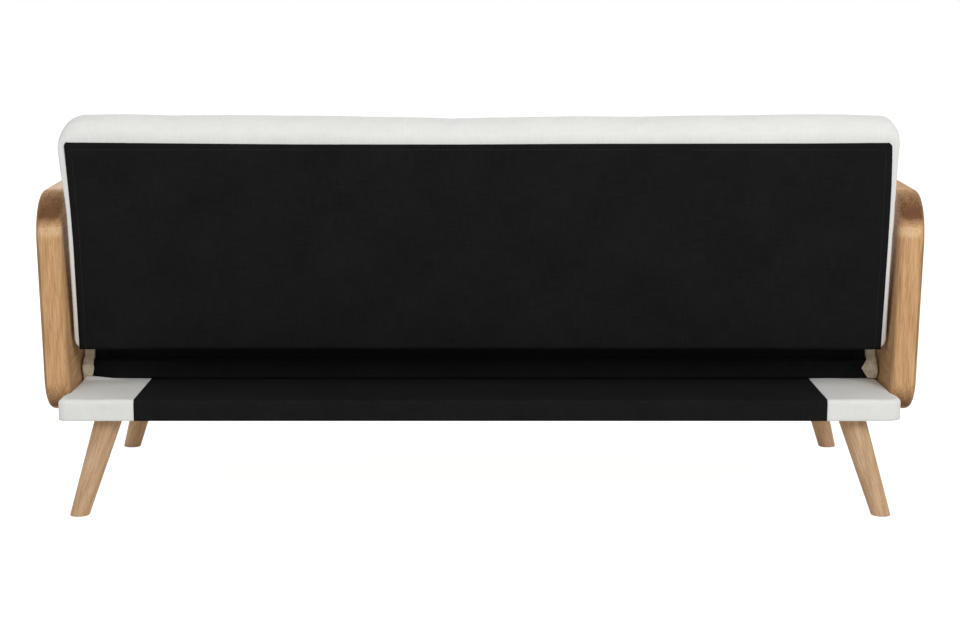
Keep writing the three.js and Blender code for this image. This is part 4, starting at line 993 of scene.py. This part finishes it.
# Cloth behind the seat: black lining over the rear rail of the seat frame and up the end of the cushion,
# stapled along the rail. It hangs a little slack, and stands clear of the hinges at both ends.
strip_points, _ = fillet(
    [(152.9, 258.3, 0), (152.9, 298.2, 3), (123.9, 298.2, 2), (123.9, 330, 0)],
    [7, 5, 6],
    4,
    False,
)
strip_half, hinge_side, beside_hinge = 881.0, 842.9, 136.1
strip_xs = np.concatenate([
    np.linspace(-strip_half, -hinge_side, 6), np.linspace(-hinge_side + 0.8, hinge_side - 0.8, 170),
    np.linspace(hinge_side, strip_half, 6),
])
strip = np.zeros((len(strip_xs), len(strip_points), 3))
for i, strip_x in enumerate(strip_xs):
    for j, (y, z) in enumerate(strip_points):
        x = strip_x
        if y > 150 and z > 262:
            hang = math.sin(math.pi * min(1, (z - 258) / 38))
            y += 1.0 * hang * (0.5 + ripple(x, 0, 2 * z, 90, 9.1))
        if abs(x) >= hinge_side:
            narrowed = 1.0 if z < 299 else 0.8
            x = math.copysign(hinge_side + (abs(x) - hinge_side) * narrowed, x)
            y = max(y, beside_hinge)
        strip[i, j] = (x, y, z)
strip_weave = np.dstack(np.meshgrid(strip_xs, lengths_along(strip_points), indexing="ij"))
seat_back_cloth = cloth_sheet(
    "seat_black_rear_cloth", [(strip, strip_weave)], black_cloth, 0.9, lambda p: np.array([0, 1.0, 0.6])
)
fitted(seat_back_cloth, "base", "seat_rear_cloth")

# Corner tucks: the cream cover of the seat pulled round each rear corner of its frame, folded and stapled.
# The spare cloth stands in soft crumpled folds above the platform, and its free edge is ragged.
# Fold cloth: the cover's reverse, darker and warmer with painted shade and painted light thrown by the oak
tuck_cloth_painted_shade = woven("tuck_cloth_painted_shade_and_warmth", "#fdf3df", "#b3a07e", 0.004, 0.1, 110.0)
tuck_points, tuck_facing = fillet(
    [(160.6, 260.2, 0), (157.9, 265, 3), (157.6, 289, 10),
     (149, 302.5, 6), (135.7, 308.2, 3), (135.4, 329, 0)],
    [3, 14, 7, 7, 9],
    3,
    False,
)
free_edges = {
    "left": ([259, 266, 280, 329], [880.0, 875.5, 873.0, 876.0]),
    "right": ([259, 266, 283, 300, 329], [876.0, 873.0, 861.5, 874.5, 880.0]),
}
outer_edge, tuck_columns, off_rail = 896.4, 24, 2.2
for side, sign in (("left", 1), ("right", -1)):
    shares = np.linspace(0, 1, tuck_columns)
    tuck = np.zeros((tuck_columns, len(tuck_points), 3))
    for i, u in enumerate(shares):
        for j, (y, z) in enumerate(tuck_points):
            inner = np.interp(z, *free_edges[side])
            x = inner + (outer_edge - inner) * u
            fold = 2.8 * ripple(x, y, z, 10, 3.3 * sign) + 1.4 * ripple(x, y, z, 4.5, 7.7 * sign)
            # It lies flat above, where the back comes close when it is down, and bulges low down
            room = clamped((304 - z) / 8)
            bulge = 13 * clamped((u - 0.3) / 0.5) * math.sin(math.pi * clamped((z - 259) / 46))
            y += (off_rail + fold) * tuck_facing[j][0] * room + bulge
            tuck[i, j] = (sign * x, y, z + (off_rail + fold) * tuck_facing[j][1] * room)
    tuck_weave = np.dstack(np.meshgrid(28 * shares, lengths_along(tuck_points), indexing="ij"))
    corner_tuck = cloth_sheet(
        f"seat_corner_fold_{side}", [(tuck, tuck_weave)], tuck_cloth_painted_shade, 1.0, lambda p: np.array([0, 1.0, 0.5])
    )
    fitted(corner_tuck, "base", f"seat_corner_tuck_{side}")

# Back cushion: foam and wadding in a cream cover, boxed in front and wrapped round the timber frame behind,
# where its edge lies under the black lining. The top edge sags a little between the frame's corners.
back_pivot = Vector((0, 176.3, 397.6))
pivot_in_back = Vector((0, 32.4, 39.5))
back_lean = math.radians(11.33)
back_stand = Matrix.Translation(back_pivot * MM) @ Matrix.Rotation(-back_lean, 4, "X")
back_stand = back_stand @ Matrix.Translation(-pivot_in_back * MM)
back_half, back_long, back_deep = 897.0, 517.0, 120.0
back_crown, top_sag, back_draw = 15.0, 7.0, 3.0
front_round, rear_round, shoulder, shoulder_from = 46.0, 4.5, 34.0, 430
rear_turns = [math.pi / 2 * k / 4 for k in range(4, 0, -1)]
rear_rings = [
    (-back_deep + rear_round * (1 - math.sin(a)), rear_round * (1 - math.cos(a))) for a in rear_turns
]
level_list = list(np.linspace(-back_deep + rear_round, -front_round, 8))[:-1]
back_rings = rear_rings + edge_rings(level_list, 0.0, front_round)
back_corners = (24.0, 34.0, 50.0)
back_form = Cushion((-back_half, 0.0), (back_half, back_long), back_corners, back_rings)
p = back_form.points
across = p[:, 0] / back_half
along = (p[:, 1] - back_long / 2) / (back_long / 2)
rise = (p[:, 2] + back_deep) / back_deep
p[:, 0] -= back_draw * across**7 * (1 - along**2)
# Behind the top edge the cover turns over a full, round shoulder
into = np.clip(p[:, 2] + back_deep, 0, shoulder)
small = np.clip(rear_round - into, 0, rear_round)
full = shoulder - np.sqrt(shoulder**2 - (shoulder - into) ** 2)
tight = rear_round - np.sqrt(rear_round**2 - small**2)
turning = np.clip((p[:, 1] - shoulder_from) / (back_long - rear_round - shoulder_from), 0, 1)
p[:, 1] -= (full - tight) * turning
p[:, 1] -= np.where(along > 0, top_sag * along**8 * (1 - across**4), 0)
# The top edge dips a little more in its middle and at its corners, and its left corner is the fuller one
dip_at = [-897, -850, -790, -700, -560, -350, -180, -60, 60, 200, 400, 560, 660, 780, 840, 897]
dip = [4.5, 4.0, 1.0, 0.0, 0.2, 2.0, 2.4, 4.8, 5.0, 3.4, 0.2, 0.2, 2.0, 0.8, 2.6, 1.6]
p[:, 1] -= np.clip((p[:, 1] - 400) / 110, 0, 1) ** 1.5 * np.interp(p[:, 0], dip_at, dip)
upper = np.clip((p[:, 1] - 300) / 150, 0, 1)
fuller = upper**2 * (3 - 2 * upper)
p[:, 0] += fuller * 8.0 * np.clip((p[:, 0] - 780) / 117, 0, 1) ** 2
uneven = np.array([ripple(q[0], q[1], q[2], 170, 3.7) for q in p])
p[:, 1] += 0.8 * uneven * np.clip((p[:, 1] - 440) / 60, 0, 1)
p[:, 2] += soft * back_crown * rise**6 * (1 - across**6) * (1 - along**4)
# Lying on its back here: across, along the back, and out to the front
p = np.stack([p[:, 0], -p[:, 2], p[:, 1]], 1)
back_cushion = object_from("back_foam_cushion", p, back_form.faces, cream_cloth)
back_held = np.where((p[:, 1] > back_deep - rear_round - 2) | ((p[:, 2] < 1) & (p[:, 1] > 40)))[0]
# The black lining's edges on the back: how far out it lies at each height, left being the sitter's left
lining_top = 471.0
lining_heights = np.array([0.5, 130.0, 250.0, 320.0, 380.0, 430.0, 464.0, 468.5, 471.0])
lining_left = np.array([885.4, 884.4, 883.4, 884.4, 886.2, 887.8, 889.0, 888.0, 885.5])
lining_right = np.array([-885.2, -885.2, -884.8, -884.2, -883.2, -881.2, -879.2, -877.4, -872.5])
# Behind it is hollow for the frame, and slotted for the hinges, as the seat is
back_hollow = box(-885.3, 885.3, 83.9, 118.9, 5, 471.7)
back_slots = [box(*sorted((s * slot_x[0], s * slot_x[1])), -40, 96, -30, 66) for s in (1, -1)]
back_cutters = [back_hollow, *back_slots]
back_stitch_path = upholstered(back_cushion, back_form, back_held, 0.003, 8.0, back_cutters)
back_cushion.data.transform(back_stand)
fitted(back_cushion, "backrest", "back_cushion")

# Rear lining of the back: one sheet of black cloth with a hem turned under and stitched, stapled over the
# frame. Pulling it tight leaves short creases that run in from its top corners.
lining_xs = np.linspace(0, 1, 236)
lining_zs = np.linspace(0, 1, 64)
panel = np.zeros((236, 64, 3))
hem, lining_low, lining_level, least_level, hem_level = 14.0, 0.5, 121.2, 120.3, 121.1
for i, s in enumerate(lining_xs):
    for j, t in enumerate(lining_zs):
        z = lining_low + (lining_top - lining_low) * (1.12 * t - 0.12 * t**3)
        right_x = np.interp(z, lining_heights, lining_right)
        left_x = np.interp(z, lining_heights, lining_left)
        x = right_x + (left_x - right_x) * s
        from_edge = min(x - right_x, left_x - x, lining_top - z)
        z -= t**4 * np.interp(x, [-880, -700, -250, 50, 400, 650, 880], [-1.4, 0.0, 0.8, 2.6, 2.4, 0.4, -1.6])
        y = lining_level + 0.6 * ripple(x, 0, 3 * z, 240, 2.2) + 0.25 * ripple(x / 6, 0, z, 14, 6.1)
        y -= 0.8 * math.exp(-(((from_edge - hem) / 3) ** 2))
        y += 0.5 * max(0.0, 1 - abs(from_edge - hem / 2) / 7)
        for corner_x, corner_z, turn, long_, deep in (
            (889, 471, math.radians(221), 95, 2.4),
            (-879, 471, math.radians(-48), 60, 1.4),
        ):
            dx, dz = x - corner_x, z - corner_z
            run = dx * math.cos(turn) + dz * math.sin(turn)
            off = -dx * math.sin(turn) + dz * math.cos(turn)
            if 0 < run < long_:
                wave = math.sin(math.pi * run / long_)
                y -= deep * wave * math.exp(-((off / 4) ** 2))
                y += 0.7 * deep * wave * math.exp(-(((off - 8) / 6) ** 2))
        panel[i, j] = (x, max(y, least_level), z)
panel_weave = panel[:, :, [0, 2]].copy()
rear_lining = cloth_sheet(
    "back_black_rear_lining", [(panel, panel_weave)], black_cloth, 0.8, lambda p: np.array([0, 1.0, 0])
)
rear_lining.data.transform(back_stand)
fitted(rear_lining, "backrest", "back_rear_cloth")

# Thread: polyester, sewn beside the seams of both cushions and along the hem of the black lining.
# A real stitch is 4 mm long and 0.5 mm thick; it is drawn 0.8 to 0.9 mm thick so that it shows.
thread_tree, given, made_out = tree_with_inputs(
    "row_of_stitches", {"Pitch": FLOAT, "Length": FLOAT, "Thickness": FLOAT, "Finish": MATERIAL}
)
row = add(thread_tree, "GeometryNodeMeshToCurve", {"Mesh": given.outputs["Geometry"]})
inputs = {"Curve": row.outputs[0], "Length": given.outputs["Pitch"]}
spaced = add(thread_tree, "GeometryNodeResampleCurve", inputs, mode="LENGTH")
run_along = add(thread_tree, "GeometryNodeInputTangent").outputs[0]
lying = add(thread_tree, "FunctionNodeAlignRotationToVector", {"Vector": run_along}, axis="X")
thick = given.outputs["Thickness"]
bead_size = add(thread_tree, "ShaderNodeCombineXYZ", {"X": given.outputs["Length"], "Y": thick, "Z": thick})
bead = add(thread_tree, "GeometryNodeMeshUVSphere", {"Segments": 6, "Rings": 5, "Radius": 0.5})
inputs = {"Points": spaced.outputs[0], "Instance": bead.outputs[0]}
inputs.update({"Rotation": lying.outputs[0], "Scale": bead_size.outputs[0]})
sewn_on = add(thread_tree, "GeometryNodeInstanceOnPoints", inputs)
one_mesh = add(thread_tree, "GeometryNodeRealizeInstances", {"Geometry": sewn_on.outputs[0]})
inputs = {"Geometry": one_mesh.outputs[0], "Material": given.outputs["Finish"]}
finished = add(thread_tree, "GeometryNodeSetMaterial", inputs)
thread_tree.links.new(finished.outputs[0], made_out.inputs[0])


def polyester_thread(name, tone, shine):
    """Twisted thread: a slight shine, with its twist as fine slanting bands."""
    made, tree, shader = new_material(name, 0.5, Sheen_Weight=0.1)
    place = add(tree, "ShaderNodeTexCoord").outputs["Object"]
    inputs = {"Vector": place, "Scale": 300.0, "Distortion": 1.0}
    twist = add(tree, "ShaderNodeTexWave", inputs, bands_direction="DIAGONAL").outputs["Fac"]
    inputs = {"Factor": twist, 6: linear(tone), 7: linear(shine)}
    tones = add(tree, "ShaderNodeMix", inputs, data_type="RGBA").outputs[2]
    tree.links.new(tones, shader.inputs["Base Color"])
    return made


def row_of(name, paths, closed, made, sizes, body):
    """Stitches or staples along paths of places in metres; their pitch, length and thickness in mm."""
    start_mesh = bpy.data.meshes.new("path")
    points, edges = [], []
    for path in paths:
        base = len(points)
        points += [tuple(q) for q in path]
        edges += [(base + k, base + k + 1) for k in range(len(path) - 1)]
        if closed:
            edges.append((len(points) - 1, base))
    start_mesh.from_pydata(points, edges, [])
    pitch, length, thickness = sizes
    values = {"Pitch": pitch * MM, "Length": length * MM, "Thickness": thickness * MM, "Finish": made}
    sewn_row = grown(name, start_mesh, thread_tree, values)
    sewn_row.data.shade_smooth()
    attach(sewn_row, body)
    return sewn_row


def placed(points, stand):
    """The points, moved to where a piece stands."""
    return [stand @ Vector(q) for q in points]


cream_thread = polyester_thread("cream_polyester_thread", "#d3d1ca", "#e6e4de")
black_thread = polyester_thread("black_polyester_thread", "#0c0c0d", "#18181a")
seam_stitch, hem_stitch, staple = (6.5, 4.4, 0.9), (5.5, 4.0, 0.8), (38.0, 10.0, 1.3)
row_of("seat_seam_stitches", [seat_stitch_path], True, cream_thread, seam_stitch, "base")
back_path = placed(back_stitch_path, back_stand)
row_of("back_seam_stitches", [back_path], True, cream_thread, seam_stitch, "backrest")
hem_heights = [min(max(z, 6.0), lining_top - hem) for z in lining_heights]
hem_line = [(x + hem, hem_level, z) for x, z in zip(lining_right, hem_heights)]
hem_line += [(x - hem, hem_level, z) for x, z in zip(lining_left, hem_heights)][::-1]
hem_path = placed([Vector(q) * MM for q in hem_line], back_stand)
row_of("lining_hem_stitches", [hem_path], False, black_thread, hem_stitch, "backrest")

# Staples: galvanised wire with a 10 mm crown, shot through the turned-under edge of each base cover from
# below, in a row along each side of the base.
staple_z, staple_inset, row_margin = base_under - 2.3, 11, 40
staple_runs = []
for y in (base_rear - staple_inset, base_front + staple_inset):
    staple_runs.append([(s * (base_half - row_margin), y, staple_z) for s in (-1, 1)])
for s in (1, -1):
    x = s * (base_half - staple_inset)
    staple_runs.append([(x, y, staple_z) for y in (base_front + row_margin, base_rear - row_margin)])
staple_paths = [[Vector(q) * MM for q in run] for run in staple_runs]
row_of("base_cover_staples", staple_paths, False, zinc, staple, "base")

# Hinges: stamped steel plates on a riveted pin, with a pawl that drops into the ratchet. They are enamelled
# black, with a little stipple in the enamel, and stay as the CAD made them.
enamel, tree, shader = new_material("black_enamelled_steel", 0.45, Specular_IOR_Level=0.2)
place = add(tree, "ShaderNodeTexCoord").outputs["Object"]
stipple = add(tree, "ShaderNodeTexNoise", {"Vector": place, "Scale": 700.0, "Detail": 2.0}).outputs[0]
inputs = {"Factor": stipple, 6: linear("#141415"), 7: linear("#252527")}
enamel_tones = add(tree, "ShaderNodeMix", inputs, data_type="RGBA").outputs[2]
tree.links.new(enamel_tones, shader.inputs["Base Color"])
bump = add(tree, "ShaderNodeBump", {"Height": stipple, "Strength": 0.3, "Distance": 0.0002})
tree.links.new(bump.outputs[0], shader.inputs["Normal"])
hinge_parts = ("hinge_seat_plate", "ratchet_plate", "hinge_pin", "hinge_pawl")
finish_nodes([f"{part}_{side}" for part in hinge_parts for side in sides], enamel)
